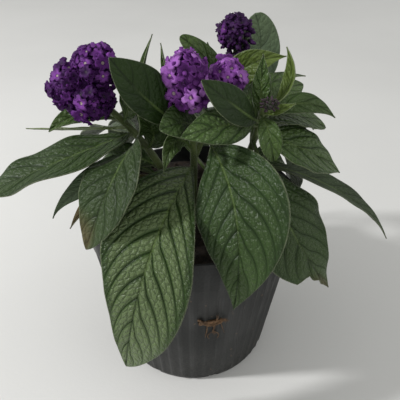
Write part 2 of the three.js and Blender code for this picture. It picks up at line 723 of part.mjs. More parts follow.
// A leaf with its midrib worked out, from one row of the list
function leafFrom([name, size, shoot, height, middle, tip, width, face, form]) {
  return {
    name,
    size,
    width,
    curve: midrib(shootPoint(shoot, height), vec(middle), vec(tip)),
    face: vec(face).normalize(),
    form: { ...LEAF_FORM, ...form },
  };
}

// A ball with few sides
function ball(centre, radius, detail = 1) {
  const shape = new THREE.IcosahedronGeometry(radius, detail);
  shape.translate(centre.x, centre.y, centre.z);
  return solidFromShape(shape);
}

// Two directions square to a given one
function sideways(direction) {
  const start = Math.abs(direction.z) > 0.9 ? new THREE.Vector3(1, 0, 0) : new THREE.Vector3(0, 0, 1);
  const first = start.addScaledVector(direction, -start.dot(direction)).normalize();
  return [first, new THREE.Vector3().crossVectors(direction, first)];
}

// One floret: a thin lobed dish on a narrow neck, its root sunk in the head
function floretSolid(root, direction, radius, length, turn) {
  const [first, second] = sideways(direction);
  const middle = root.clone().addScaledVector(direction, length);
  const ring = (reach, angle, lift) => middle.clone()
    .addScaledVector(first, reach * Math.cos(angle))
    .addScaledVector(second, reach * Math.sin(angle))
    .addScaledVector(direction, lift);
  const points = [middle.clone().addScaledVector(direction, -FLORET_THROAT), root];
  const corners = LOBE_CORNERS.length;
  const outline = FLORET_LOBES * corners;
  for (let corner = 0; corner < outline; corner += 1) {
    const lobe = Math.floor(corner / corners);
    const notch = corner % corners === corners - 1;
    const angle = turn + ((lobe + LOBE_CORNERS[corner % corners]) / FLORET_LOBES) * Math.PI * 2;
    points.push(notch ? ring(radius * FLORET_NOTCH, angle, 0) : ring(radius, angle, FLORET_CUP));
  }
  for (let lobe = 0; lobe < FLORET_LOBES; lobe += 1) {
    points.push(ring(NECK_RADIUS, turn + (lobe / FLORET_LOBES) * Math.PI * 2, -FLORET_THICK));
  }
  const rim = 2;
  const neck = rim + outline;
  const triangles = [];
  for (let corner = 0; corner < outline; corner += 1) {
    triangles.push([0, rim + corner, rim + ((corner + 1) % outline)]);
  }
  for (let lobe = 0; lobe < FLORET_LOBES; lobe += 1) {
    const here = rim + lobe * corners;
    const next = rim + (((lobe + 1) * corners) % outline);
    const under = neck + lobe;
    const underNext = neck + ((lobe + 1) % FLORET_LOBES);
    triangles.push([here, under, here + 1], [here + 1, under, here + 2], [here + 2, under, underNext]);
    triangles.push([here + 2, underNext, next], [under, 1, underNext]);
  }
  return solidFrom(points, triangles);
}

// Directions spread evenly over a ball, the same every time
function spread(count) {
  const golden = Math.PI * (3 - Math.sqrt(5));
  return Array.from({ length: count }, (_, item) => {
    const z = 1 - (2 * item + 1) / count;
    const flat = Math.sqrt(1 - z * z);
    return new THREE.Vector3(flat * Math.cos(golden * item), flat * Math.sin(golden * item), z);
  });
}

// Where the florets of a head stand: on its lumps, facing out, not inside one another
function floretPlaces({ lumps, around, floret }) {
  const places = [];
  lumps.forEach(([x, y, z, radius], lump) => {
    const centre = new THREE.Vector3(x, y, z);
    spread(around).forEach((direction, item) => {
      const seat = centre.clone().addScaledVector(direction, radius);
      const buried = lumps.some(([ox, oy, oz, reach], other) => other !== lump
        && seat.distanceTo(new THREE.Vector3(ox, oy, oz)) < reach * BURIED);
      const crowded = places.some((place) => place.seat.distanceTo(seat) < floret * CROWDING);
      if (direction.z > LOWEST_FLORET && !buried && !crowded) {
        places.push({ seat, direction, item: lump * around + item });
      }
    });
  });
  return places;
}

// A flower head: florets fused to a smaller core that the branches run into
function headSolid(head, stemSpace) {
  const [heartX, heartY, heartZ, heartRadius] = head.heart;
  const cores = head.lumps.map(([x, y, z, radius]) => ball(vec([x, y, z]), radius - head.stand));
  cores.push(ball(vec([heartX, heartY, heartZ]), heartRadius));
  const florets = floretPlaces(head).map(({ seat, direction, item }) => {
    const tilt = new THREE.Vector3(chance(item, 1), chance(item, 2), chance(item, 3)).subScalar(0.5);
    const facing = direction.clone().addScaledVector(tilt, FLORET_TILT).normalize();
    const size = head.floret * (1 + FLORET_VARY * (chance(item, 4) - 0.5));
    const length = head.stand + FLORET_ROOT + (chance(item, 5) - 0.5) * FLORET_UNEVEN;
    const root = seat.clone().addScaledVector(facing, -head.stand - FLORET_ROOT);
    return floretSolid(root, facing, size, length, chance(item, 6) * Math.PI * 2);
  });
  return largestBody(union([...cores, ...florets]).subtract(stemSpace));
}

// A tight group of unopened buds on a small core
function budsSolid({ centre, radius, buds, length, width, lowest }, stemSpace) {
  const middle = vec(centre);
  const parts = [ball(middle, radius)];
  spread(buds).forEach((direction, item) => {
    if (direction.z > lowest) {
      const reach = length * (1 + BUD_VARY * (chance(item, 7) - 0.5));
      const stations = [radius * BUD_ROOT, radius + reach * BUD_BELLY, radius + reach];
      const path = stations.map((far) => middle.clone().addScaledVector(direction, far));
      parts.push(taperedTube(path, BUD_WIDTHS.map((share) => width * share), BUD_SIDES));
    }
  });
  return largestBody(union(parts).subtract(stemSpace));
}

// Dry roots that come through the slot and lie against the wall
function rootTuftSolid() {
  const plug = slotBox(SLOT_WIDTH - GAP * 2, SLOT_TALL - GAP * 2,
    insideRadius(SLOT_HEIGHT) + GAP, wallRadius(SLOT_HEIGHT) + PLUG_STAND);
  const strands = ROOTS.map(({ points, radius }) => {
    const radii = points.map((_, index) => radius * (1 - (ROOT_TAPER * index) / (points.length - 1)));
    return taperedTube(points.map(wallPoint), radii, ROOT_SIDES);
  });
  return largestBody(union([plug, ...strands]));
}

function buildPlant() {
  const group = new THREE.Group();
  group.name = 'potted_heliotrope';
  const stems = stemsSolid();
  const stemSpace = stemsSolid(GAP);
  group.add(meshFrom('pot', potSolid(), COLOURS.pot, POT_ROUGHNESS));
  group.add(meshFrom('soil', largestBody(soilSolid().subtract(stemSpace)), COLOURS.soil, SOIL_ROUGHNESS));
  group.add(meshFrom('stems', largestBody(stems), COLOURS.stem));
  group.add(meshFrom('root_tuft', rootTuftSolid(), COLOURS.root));
  for (const row of LEAVES) {
    const leaf = leafFrom(row);
    const solid = largestBody(leafSolid(leaf).subtract(stemSpace));
    group.add(meshFrom(leaf.name, solid, LEAF_COLOURS[leaf.name] ?? COLOURS.leaf, LEAF_ROUGHNESS));
  }
  for (const head of HEADS) {
    group.add(meshFrom(head.name, headSolid(head, stemSpace), head.colour));
  }
  for (const cluster of BUDS) {
    group.add(meshFrom(cluster.name, budsSolid(cluster, stemSpace), cluster.colour));
  }
  return group;
}

export default buildPlant();
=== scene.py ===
"""Potted heliotrope: a dark nursery pot of compost with one plant of four shoots.

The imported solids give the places, and every leaf, floret, bud, root and hair is modelled in
finer form.
Lengths in the plant's own numbers are millimetres, and the mesh is in metres.
"""

import math

import bpy
import numpy as np
from bpy.props import FloatProperty, FloatVectorProperty, IntProperty, PointerProperty
from mathutils import Matrix, Vector, noise


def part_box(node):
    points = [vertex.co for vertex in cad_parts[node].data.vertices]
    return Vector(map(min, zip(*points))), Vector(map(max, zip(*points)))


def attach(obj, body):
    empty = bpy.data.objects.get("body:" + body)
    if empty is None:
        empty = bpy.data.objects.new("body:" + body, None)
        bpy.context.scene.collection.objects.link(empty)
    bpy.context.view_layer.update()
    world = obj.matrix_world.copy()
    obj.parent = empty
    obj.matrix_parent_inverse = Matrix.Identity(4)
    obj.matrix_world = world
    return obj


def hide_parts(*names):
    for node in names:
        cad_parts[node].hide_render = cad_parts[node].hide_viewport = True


bl_info = {
    "name": "Potted heliotrope",
    "version": (1, 0, 0),
    "blender": (4, 5, 0),
    "location": "View3D > Sidebar > Heliotrope",
    "description": "Models a flowering heliotrope in its nursery pot around the packed solids",
    "category": "Object",
}

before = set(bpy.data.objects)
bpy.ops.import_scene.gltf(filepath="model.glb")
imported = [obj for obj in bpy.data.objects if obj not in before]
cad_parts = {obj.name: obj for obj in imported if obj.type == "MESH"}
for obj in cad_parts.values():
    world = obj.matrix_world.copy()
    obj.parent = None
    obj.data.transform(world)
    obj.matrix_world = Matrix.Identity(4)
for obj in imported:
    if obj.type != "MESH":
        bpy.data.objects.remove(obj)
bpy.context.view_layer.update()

MM = 0.001
POT_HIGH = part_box("pot")[1]
SOIL_LOW, SOIL_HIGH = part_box("soil")

# Where the random draws of each group start
SEEDS = {"compost": 4, "roots": 5, "shoots": 6, "leaves": 7, "florets": 13, "heads": 14, "buds": 24}

# Shoots: centre line, radius at the foot and at the top
SHOOTS = {
    "left": (
        [(1, -1, 72), (-2.5, -2, 82), (-9, -4, 108), (-18, -6, 128), (-29, -9, 147),
         (-44, -13, 166)],
        2.4,
        1.6,
    ),
    "centre": ([(1, -1, 72), (1, -4, 82), (1, -8, 112), (1, -14, 142), (-1, -18, 162)], 2.4, 1.6),
    "fork": ([(1, -12, 132), (8, -11, 149), (16, -11, 163)], 1.6, 1.4),
    "back": ([(1, -1, 72), (4, 3, 82), (9, 10, 112), (16, 18, 142), (23, 25, 166)], 2.4, 1.6),
    "right": ([(1, -1, 72), (6, -1, 82), (16, -3, 106), (28, -10, 132), (34, -19, 164)], 2.4, 1.5),
}

# Shape of a leaf where its own row says nothing else
LEAF_FORM = {
    "belly": 0.42,
    "base": 0.9,
    "taper": 1.15,
    "fold": 12,
    "wave": 0,
    "waves": 2.5,
    "phase": 0,
    "hook": 0,
    "stalk": 0.1,
    "uneven": 0,
    "skew": 0,
    "brown": 0,
    "ragged": 0,
}
# Least width of a blade at its stalk and at its tip
STALK_WIDTH = 1.6
TIP_WIDTH = 0.5
# Side veins: sweep of the blade's rows, distance between veins, fewest and most, bend at the margin
VEIN_SWEEP = 0.1
VEIN_SPACING = 13
VEIN_COUNTS = (4, 10)
VEIN_RISE = 1.1
# Run of a side vein up the blade: its reach per width of the leaf and per half width at its place,
# its slope at the midrib, how late it bends, where the first one starts, and how much lower the
# left ones are
VEIN_REACH = (0.12, 0.72)
VEIN_SLOPE = 0.35
VEIN_BEND = 2.2
FIRST_VEIN = 0.3
LEFT_LOWER = 0.45
# How far the waves of the two margins are apart, and where a hooked tip starts
SIDE_SHIFT = 1.9
HOOK_START = 0.8
# Where the missing piece of a torn margin starts and is full
TEAR_START = 0.7
TEAR_FULL = 0.73
# Relief of a blade: puffing lost at the margin, groove over the midrib, ripple of the margin
PUFF_LOSS = 0.85
GROOVE_WIDTH = 1.2
GROOVE_DEPTH = 0.7
MARGIN_RIPPLE = 0.5
RIPPLES = 9.5
RIPPLE_SHIFT = 2.2
# Swelling along the midrib under the blade
RIB_WIDTH = 0.9
RIB_SWELL = 0.55
# Where a dry tip starts, and how far it leans to one side
DRY_FROM = 0.78
DRY_LEAN = 0.12
# Length that one unit of a blade's own map covers
BLADE_MAP_SIZE = 100
# Points that a midrib's length is measured with
MIDRIB_STEPS = 40
# Leaves under this width get a finer mesh
SMALL_LEAF = 15
SMALL_LEAF_STEP = 0.7

# Name, look, shoot and height on it, middle and tip of the midrib,
# and in the second line the width, the way that the upper face looks, and the form
LEAVES = (
    ("left_long", "deep", "left", 146, (-59, -33, 144), (-104, -48, 129),
     30, (0, 0, 1), dict(fold=6, wave=1.4, waves=3, base=0.65, taper=0.85, stalk=0.04, phase=1.5)),
    ("left_under", "pale", "left", 138, (-50, -33, 131), (-68, -36, 116),
     12, (-0.7, 0.2, -0.6), dict(fold=20, belly=0.45, hook=-3)),
    ("left_hanging", "dull", "left", 142, (-35, -50, 140.5), (-47.5, -58, 111.5),
     28, (-0.45, -0.8, 0.4), dict(fold=8, belly=0.5, base=0.6, taper=0.75, skew=-0.1, brown=0.6)),
    ("front_big", "silvery", "centre", 128, (-14.5, -60, 120.5), (-33, -71, 46),
     43, (-0.2, -0.88, 0.4),
     dict(uneven=0.02, skew=-0.55, fold=4, belly=0.5, base=0.6, taper=0.72, wave=1.2, stalk=0.02)),
    ("front_mid", "glossy", "fork", 146, (19.5, -49, 130.5), (20.5, -65, 80),
     43.5, (-0.3, -0.86, 0.42), dict(uneven=-0.15, fold=5, base=0.8, taper=1.1)),
    ("right_dark", "deep", "right", 144, (44, -40, 119), (74, -36, 67),
     40, (0.42, -0.8, 0.4), dict(fold=-4, belly=0.45, wave=2, brown=0.55, ragged=0.62)),
    ("right_broad", "studded", "right", 148, (52, -17, 142.5), (76, -14, 126),
     29, (0.15, -0.3, 0.95), dict(fold=6, belly=0.48, base=0.8, stalk=0.06)),
    ("right_long", "dull", "right", 130, (86, 4, 101), (122, 10, 65),
     16, (0.4, -0.2, 0.9), dict(fold=18, belly=0.5, hook=-2)),
    ("right_edge", "studded", "right", 151.5, (53, 0, 151), (70, 3, 143),
     19, (0.1, -0.2, 0.95), dict(fold=4, belly=0.55, taper=0.6)),
    ("right_bright", "fresh", "right", 156, (52, -10, 162), (72, -4, 152),
     11, (0.2, -0.7, 0.7), dict(fold=14, belly=0.45)),
    ("right_blade", "lime", "right", 161, (47, -10, 176), (44, -6, 188),
     8, (-0.6, -0.6, 0.3), dict(fold=35, belly=0.5)),
    ("right_back", "fresh", "right", 154, (47, 2, 164), (57, 10, 164),
     15, (0.1, -0.5, 0.8), dict(fold=5, belly=0.55, taper=0.7)),
    ("bud_up", "studded", "right", 157, (32.5, -16, 174.5), (32.5, -15, 187.5),
     9, (-0.1, -0.9, 0.35), dict()),
    ("bud_down", "fresh", "right", 158.5, (35, -36, 158), (37.5, -38, 146),
     10.5, (0, -0.85, 0.5), dict(belly=0.62, taper=0.5)),
    ("bud_small", "lime", "right", 160, (43, -22, 165), (48, -22, 167),
     5, (0, -0.8, 0.6), dict(fold=20)),
    ("back_fold", "lime", "back", 153, (32, 6, 177), (46, 8, 179),
     16, (0.1, -0.9, 0.35), dict(fold=14, hook=2, belly=0.45)),
    ("back_round", "pale", "back", 149, (38, 41, 173), (34, 44, 191),
     22, (0.1, -0.95, 0.1), dict(fold=4, belly=0.52, base=0.95, taper=0.4)),
    ("centre_round", "smooth", "right", 155, (16, -35, 174), (5, -38, 184),
     15, (0.1, -0.8, 0.6), dict(fold=4, belly=0.52, taper=0.8, base=0.8)),
    ("centre_quilt", "studded", "right", 153, (11, -36, 162), (-4, -42, 160),
     18, (0.1, -0.65, 0.75), dict(fold=-4, belly=0.5, taper=0.9)),
    ("left_shield", "smooth", "centre", 150, (-21.2, -32.7, 176.5), (-32, -37, 193),
     20, (0.1, -0.8, 0.55), dict(uneven=0.22, fold=2, belly=0.58, taper=0.8, base=1)),
    ("left_spike", "fresh", "left", 134, (-22, 0, 178), (-18, 4, 191),
     8, (-0.7, -0.5, 0.2), dict(fold=50, belly=0.45)),
    ("centre_spike", "fresh", "centre", 150, (-12, -2, 179), (-14, 0, 188),
     7, (-0.7, -0.5, 0.2), dict(fold=50, belly=0.5)),
    ("top_lime", "fresh", "back", 145, (5, 2, 182), (-5, 2, 190.5),
     12, (0, -0.7, 0.7), dict(fold=8, belly=0.62, taper=0.45)),
    ("top_small", "fresh", "back", 160, (12, 11, 174), (8, 8, 186),
     9, (0, -0.8, 0.4), dict(fold=8)),
    ("under_centre", "deep", "centre", 147, (-6, -34, 162.5), (-13, -39, 162),
     18, (0, -0.75, 0.65), dict(fold=4, belly=0.55, taper=0.7)),
    ("under_left", "deep", "left", 136, (-19, -22, 156), (-24, -27, 165),
     16, (0, -0.8, 0.6), dict(fold=6, belly=0.5)),
    ("hang_lime", "fresh", "centre", 138, (-9, -32, 150), (-12, -40, 141),
     9, (0.3, -0.8, 0.4), dict(belly=0.5)),
    ("left_inner", "fresh", "left", 152, (-28, -19, 166), (-25, -24, 180),
     11, (-0.1, -0.75, 0.6), dict(fold=8, belly=0.5)),
    ("left_edge", "lime", "left", 149.5, (-61, -3, 145), (-84, -4, 146),
     10, (0, 0.4, 0.9), dict(fold=10, belly=0.4)),
    ("left_curl", "fresh", "left", 152.5, (-61, -8, 153), (-70, -12, 148),
     11, (-0.3, -0.6, 0.6), dict(fold=25, belly=0.5, taper=0.8)),
    ("dry_scrap", "dry", "left", 120, (-54, -26, 112), (-61, -34, 105),
     9, (-0.6, -0.6, 0.3), dict(fold=25, belly=0.6)),
    ("rear_left_high", "deep", "left", 140, (-46, 18, 136), (-70, 34, 112),
     24, (-0.1, 0.3, 0.95), dict(wave=1)),
    ("rear_left_low", "deep", "back", 112, (-30, 46, 128), (-52, 66, 78),
     36, (-0.4, 0.7, 0.5), dict(wave=1.5)),
    ("rear_middle", "deep", "back", 125, (8, 58, 130), (2, 84, 66),
     40, (0, 0.85, 0.45), dict(base=0.6, wave=1.5)),
    ("rear_right_low", "deep", "back", 118, (48, 44, 124), (70, 62, 70),
     36, (0.5, 0.7, 0.45), dict(wave=1.5)),
    ("rear_high", "fresh", "back", 150, (10, 50, 164), (2, 70, 146),
     22, (0, 0.5, 0.85), dict()),
    ("rear_right_high", "deep", "back", 134, (44, 43, 150), (58, 58, 138),
     18, (0.2, 0.4, 0.9), dict()),
    ("rear_left_mid", "deep", "back", 135, (-14, 48, 150), (-34, 68, 128),
     24, (-0.2, 0.5, 0.85), dict()),
    ("rear_right_mid", "deep", "right", 140, (56, 22, 144), (73, 40, 124),
     20, (0.3, 0.3, 0.9), dict()),
    ("right_low", "deep", "right", 112, (46, 12, 118), (62, 28, 74),
     26, (0.7, 0.3, 0.5), dict()),
    ("mid_left", "deep", "left", 122, (-36, -6, 130), (-50, -8, 116),
     18, (-0.5, -0.3, 0.8), dict()),
    ("rear_top_left", "fresh", "back", 140, (-3, 26, 165), (-16, 32, 164),
     18, (-0.2, 0.1, 1), dict()),
    ("rear_top_right", "fresh", "right", 143, (44, 15, 164), (61, 25, 163),
     16, (0.2, 0, 1), dict()),
    ("left_low", "deep", "left", 112, (-46, 10, 120), (-62, 22, 76),
     30, (-0.7, 0.3, 0.5), dict()),
)

# Flower heads: shoot, look, radius of a floret, and lumps of florets as centre and radius.
# Florets are open on the side that faces open_side, and none looks lower than lowest.
HEAD_FORM = {"open_side": (0, 0, 1), "open_from": -1, "lowest": -0.62}
HEADS = {
    "left": {
        "shoot": "left",
        "look": "violet",
        "floret": 3.5,
        "lumps": ((-42.5, -15, 180.5, 10.5), (-53.5, -17, 173.5, 10.5), (-45.5, -20, 168, 10.5)),
    },
    "centre_left": {
        "shoot": "centre",
        "look": "purple",
        "floret": 4.3,
        "lumps": ((-2, -20, 180, 9.8), (-1, -21, 172.5, 9.6)),
    },
    "centre_right": {
        "shoot": "fork",
        "look": "purple",
        "floret": 3.8,
        "lumps": ((16.8, -11, 174.5, 9),),
    },
    "back": {
        "shoot": "back",
        "look": "dark",
        "floret": 3.2,
        "lumps": ((23, 24, 185, 9.5),),
        "open_side": (-0.75, -0.3, 0.6),
        "open_from": 0.55,
        "lowest": -0.95,
    },
}
PLACES_TRIED = 130
# Layers of florets: depth under the outermost, least distance apart in radii, turn of the pattern
FLORET_LAYERS = ((0.3, 1.08, 0), (2.4, 0.66, 1.1))
LEANING_AXIS = (0.3, 1, 0.2)
# One floret of radius 1: rings of its corolla as radius and height, from the tube's foot to the eye
FLORET_RINGS = ((0.13, -1.1), (0.24, -0.35), (1, 0), (0.6, 0.03), (0.17, -0.08))
FLORET_SIDES = 20
LOBES = 5
FLORET_KINDS = 4
FLORET_TILT = 0.6
FLORET_UNEVEN = 2.3
FLORET_RUFFLE = 0.24
CORE_DEPTH = 4.6
# Closed buds among the florets: width, width and length, depth of the foot, scatter,
# and the share of open florets that have one beside them
CLOSED_BUD = (1.8, 1.8, 4.5)
CLOSED_DEPTH = 3.2
CLOSED_SCATTER = 1.6
CLOSED_BETWEEN = 0.25
CALYX_DEPTH = 2.2

# Tight groups of unopened buds: centre and radius of the core, buds tried, their length and width
BUD_GROUPS = {
    "buds_back": {
        "look": "calyx",
        "centre": (24, 24, 169),
        "radius": 4.3,
        "buds": 40,
        "length": 5.4,
        "width": 1.9,
        "lowest": -0.8,
    },
    "buds_right": {
        "look": "dark_bud",
        "centre": (36, -23, 166.5),
        "radius": 2.1,
        "buds": 24,
        "length": 2.9,
        "width": 1.1,
        "lowest": -0.4,
    },
}
BUD_HAIR = 0.7
HAIRS_A_BUD = 14

# Wads of dry roots on the wall: points as sideways, up and outwards from the slot, and the radius
ROOTS = (
    (((-6, 2.8, 0.8), (-2.5, -0.6, 1.3), (0.5, -2, 1.4), (4, -1, 1.4), (7.5, 1.8, 1.1)), 0.6),
    (((-5.2, 1.6, 0.7), (-1.5, 0.4, 1.2), (3, 1.2, 1.2), (6.5, 0.8, 1.3)), 0.45),
    (((2.2, 0, 1), (3.4, 3.6, 1.4), (3, 7, 2)), 0.4),
    (((1.5, -1, 1.4), (2.2, -5, 1), (1.8, -8.5, 1.2), (2.6, -11, 0.8)), 0.5),
    (((-1.8, -1, 1.2), (-1.6, -7, 0.8), (-2.4, -14, 0.6)), 0.22),
    (((5.2, -0.4, 1.2), (6.6, -6, 0.8), (8, -12, 0.6)), 0.18),
    (((1.5, -8, 1), (-1, -12, 0.7), (0, -15, 0.6)), 0.2),
    (((2, -8, 1), (5, -12, 0.7), (4.5, -16, 0.6)), 0.2),
    (((6.4, 1.2, 1.2), (8.6, 0.2, 1.8)), 0.7),
)
# Scatter of a wad's strands sideways, up and outwards, per radius of the wad
ROOT_SCATTER = (2.6, 2.6, 1.2)
THINNEST_ROOT = 0.06
# How far the matted roots reach in the slot, from inside the wall's face to outside it
PLUG_REACH = (-1.1, 0.9)

# The slot in the front of the wall: turn in degrees, height over the ground, width, height, depth
SLOT_ANGLE = 10.5
SLOT_HEIGHT = 58
SLOT_WIDTH = 13
SLOT_TALL = 3
SLOT_CUT = 6

# Shape of the pot's foot and ribs, in metres
RIB_FOOT = 3.5 * MM
POINTS_A_RIB = 8
DRAIN_HOLES = 6
DRAIN_RADIUS = 3.5 * MM
DRAIN_CIRCLE = 31 * MM
DRAIN_CUT = 12 * MM
DRAIN_SIDES = 32
FOOT_NOTCHES = 8
NOTCH_TURN = 0.35
NOTCH_WIDTH = 5 * MM
NOTCH_HEIGHT = 1.8 * MM
FOOT_EDGE = 0.5 * MM
POT_BEVEL = 0.22 * MM

# Compost: height over the foot of the band, gap to the wall, rings of its top, and its unevenness
SOIL_OVER_BAND = 8 * MM
SOIL_GAP = 0.6 * MM
SOIL_SIDES = 120
SOIL_RINGS = 40
# Height of a swell and its span, in millimetres
SOIL_SWELLS = ((1.3, 9), (0.7, 3), (0.35, 1))

# Branches under the lumps of a head: start back from the shoot's top, reach to the lump, radius
BRANCH_START = 0.15
BRANCH_REACH = 0.9
BRANCH_RADIUS = 0.9

# Floor, lights and camera
FLOOR_SIZE = 8
KEY_SIZE = 0.12
KEY_PLACE = (-0.98, -0.25, 0.88)
FILL_SIZE = 1.2
FILL_PLACE = (1.15, -0.4, 0.5)
SKY_COLOUR = (0.99, 1, 0.98, 1)
LIGHT_TARGET = (0, 0, 0.11)
CAMERA_PLACE = (0.0044, -0.235, 0.257)
CAMERA_TURN = (math.radians(56.2), 0, 0)
CAMERA_LENS = 45
CAMERA_SENSOR = 36


class PlantSizes(bpy.types.PropertyGroup):
    """Fineness, thickness and quilting of leaves, and sizes and numbers of hairs and crumbs"""

    leaf_step: FloatProperty(
        name="Leaf mesh step", description="Distance between points of a leaf",
        default=0.95 * MM, unit="LENGTH")
    blade: FloatProperty(
        name="Blade", description="Thickness of a leaf blade", default=0.5 * MM, unit="LENGTH")
    stalk: FloatProperty(
        name="Stalk", description="Thickness of a leaf stalk", default=1.6 * MM, unit="LENGTH")
    quilt: FloatProperty(
        name="Quilting", description="How far the blade puffs up between its veins, per width",
        default=0.02)
    hair_length: FloatProperty(
        name="Hair length", description="Length of the hairs on shoots",
        default=0.9 * MM, unit="LENGTH")
    hair_width: FloatProperty(
        name="Hair width", description="Width of a hair at its root",
        default=0.06 * MM, unit="LENGTH")
    hair_gap: FloatProperty(
        name="Hair spacing", description="Distance between hairs on a margin",
        default=0.42 * MM, unit="LENGTH")
    margin_hair: FloatProperty(
        name="Margin hair length", description="Length of the hairs on leaf margins",
        default=0.4 * MM, unit="LENGTH")
    shoot_hairs: IntProperty(
        name="Shoot hairs", description="Hairs on all shoots together", default=4200, min=0)
    crumbs: IntProperty(
        name="Crumbs", description="Loose crumbs on the compost", default=320, min=0)


class PotSizes(bpy.types.PropertyGroup):
    """Sizes of the nursery pot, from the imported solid"""

    height: FloatProperty(
        name="Height", description="Height of the pot", default=POT_HIGH.z, unit="LENGTH")
    rim: FloatProperty(
        name="Rim radius", description="Outer radius of the rim", default=POT_HIGH.x, unit="LENGTH")
    foot: FloatProperty(
        name="Foot radius", description="Outer radius of the foot",
        default=44.5 * MM, unit="LENGTH")
    wall: FloatProperty(
        name="Wall", description="Thickness of the wall", default=1.4 * MM, unit="LENGTH")
    band: FloatProperty(
        name="Band height", description="Height of the rim band", default=18 * MM, unit="LENGTH")
    step: FloatProperty(
        name="Band step", description="How far the band stands out at its lower edge",
        default=1.3 * MM, unit="LENGTH")
    band_taper: FloatProperty(
        name="Band taper", description="How much narrower the band is at its lower edge",
        default=1.2 * MM, unit="LENGTH")
    recess: FloatProperty(
        name="Foot recess", description="Height of the floor over the ground",
        default=3 * MM, unit="LENGTH")
    ring: FloatProperty(
        name="Foot ring", description="Width of the ring that the pot stands on",
        default=3 * MM, unit="LENGTH")
    pad: FloatProperty(
        name="Foot pad", description="Radius of the disc under the middle of the foot",
        default=9 * MM, unit="LENGTH")
    ribs: IntProperty(name="Ribs", description="Upright ribs round the wall", default=48, min=3)
    rib_depth: FloatProperty(
        name="Rib depth", description="How far a rib stands out", default=0.8 * MM, unit="LENGTH")


class StageSettings(bpy.types.PropertyGroup):
    """Light and floor"""

    key_power: FloatProperty(
        name="Key light", description="Power of the main light, high on the left",
        default=12.2, unit="POWER")
    fill_power: FloatProperty(
        name="Fill light", description="Power of the wide light from the right",
        default=2.6, unit="POWER")
    sky: FloatProperty(
        name="Sky", description="Brightness of the light from all round", default=0.6, min=0)
    floor_colour: FloatVectorProperty(
        name="Floor", description="Colour of the floor", subtype="COLOR", size=4,
        default=(0.69, 0.685, 0.67, 1))


# Finish slot, upper face, underside, painted sheen on the blister cells (also the tip's lighter
# green), how strong they show, roughness
LEAF_LOOKS = {
    "deep": ("leaf", (0.016, 0.036, 0.0055), (0.05, 0.078, 0.03), (0.04, 0.07, 0.018), 0.5, 0.4),
    "glossy": (
        "leaf", (0.018, 0.039, 0.009), (0.055, 0.085, 0.035), (0.048, 0.084, 0.024), 0.5, 0.37),
    "dull": ("leaf", (0.019, 0.037, 0.009), (0.07, 0.1, 0.045), (0.036, 0.06, 0.019), 0.45, 0.46),
    "silvery": (
        "leaf", (0.02, 0.043, 0.008), (0.07, 0.105, 0.045), (0.105, 0.148, 0.06), 0.95, 0.32),
    "fresh": ("leaf", (0.03, 0.06, 0.01), (0.07, 0.115, 0.035), (0.065, 0.105, 0.03), 0.55, 0.36),
    "studded": (
        "leaf", (0.025, 0.053, 0.009), (0.07, 0.115, 0.035), (0.064, 0.108, 0.03), 0.9, 0.36),
    "lime": (
        "young_leaf", (0.075, 0.115, 0.02), (0.115, 0.165, 0.045), (0.13, 0.18, 0.045), 0.3, 0.42),
    "smooth": ("leaf", (0.01, 0.025, 0.003), (0.042, 0.07, 0.02), (0.017, 0.036, 0.005), 0.15, 0.5),
    "pale": ("pale_leaf", (0.07, 0.105, 0.055), (0.1, 0.14, 0.08), (0.1, 0.14, 0.075), 0.2, 0.55),
    "dry": ("dry_leaf", (0.1, 0.075, 0.03), (0.13, 0.1, 0.05), (0.17, 0.13, 0.065), 0.3, 0.8),
}
# Finish slot, rim, middle and throat ring of a floret, and how much the lightest florets pale
PETAL_LOOKS = {
    "violet": (
        "violet_florets", (0.062, 0.009, 0.1), (0.028, 0.003, 0.048), (0.008, 0.001, 0.015), 0.15),
    "purple": (
        "purple_florets", (0.135, 0.031, 0.195), (0.07, 0.011, 0.108), (0.02, 0.003, 0.035), 0.6),
    "dark": (
        "dark_florets", (0.04, 0.007, 0.062), (0.016, 0.003, 0.028), (0.006, 0.001, 0.01), 0.0),
}
BLUSH_COLOUR = (0.34, 0.16, 0.42, 1)
EYE_COLOUR = (0.6, 0.52, 0.42, 1)
# Ground and tip colour of unopened buds
BUD_LOOKS = {
    "calyx": ((0.04, 0.068, 0.022), (0.03, 0.012, 0.035)),
    "dark_bud": ((0.022, 0.026, 0.012), (0.028, 0.009, 0.022)),
}
CALYX_COLOURS = ((0.026, 0.038, 0.014), (0.035, 0.01, 0.05))
POT_COLOURS = ((0.0095, 0.0105, 0.0105, 1), (0.0145, 0.0158, 0.0156, 1))
DUST_COLOUR = (0.085, 0.083, 0.075, 1)
SPECK_COLOUR = (0.16, 0.11, 0.07, 1)
# What the group of vein masks puts out, and the cells of the small net and of the crumples in them
VEIN_MASKS = ("Vein", "Midrib", "Net", "Blister", "Painted Sheen", "Crumple", "Margin")
NET_SCALE = (34, 30, 1)
CRUMPLE_SCALE = 2.6
BROWN = (0.11, 0.075, 0.033, 1)
RIM_COLOUR = (0.22, 0.25, 0.15, 1)
UNDERSIDE_ROUGHNESS = 0.7
LEAF_SHEEN = (0.75, 0.85, 0.65, 1)
PETAL_SHEEN = (0.8, 0.55, 1, 1)
MIDRIB_COLOUR = (0.085, 0.13, 0.035, 1)
# Colour of the painted glints on the crests of the crumpled cells
PAINTED_GLINT_COLOUR = (0.3, 0.35, 0.24, 1)


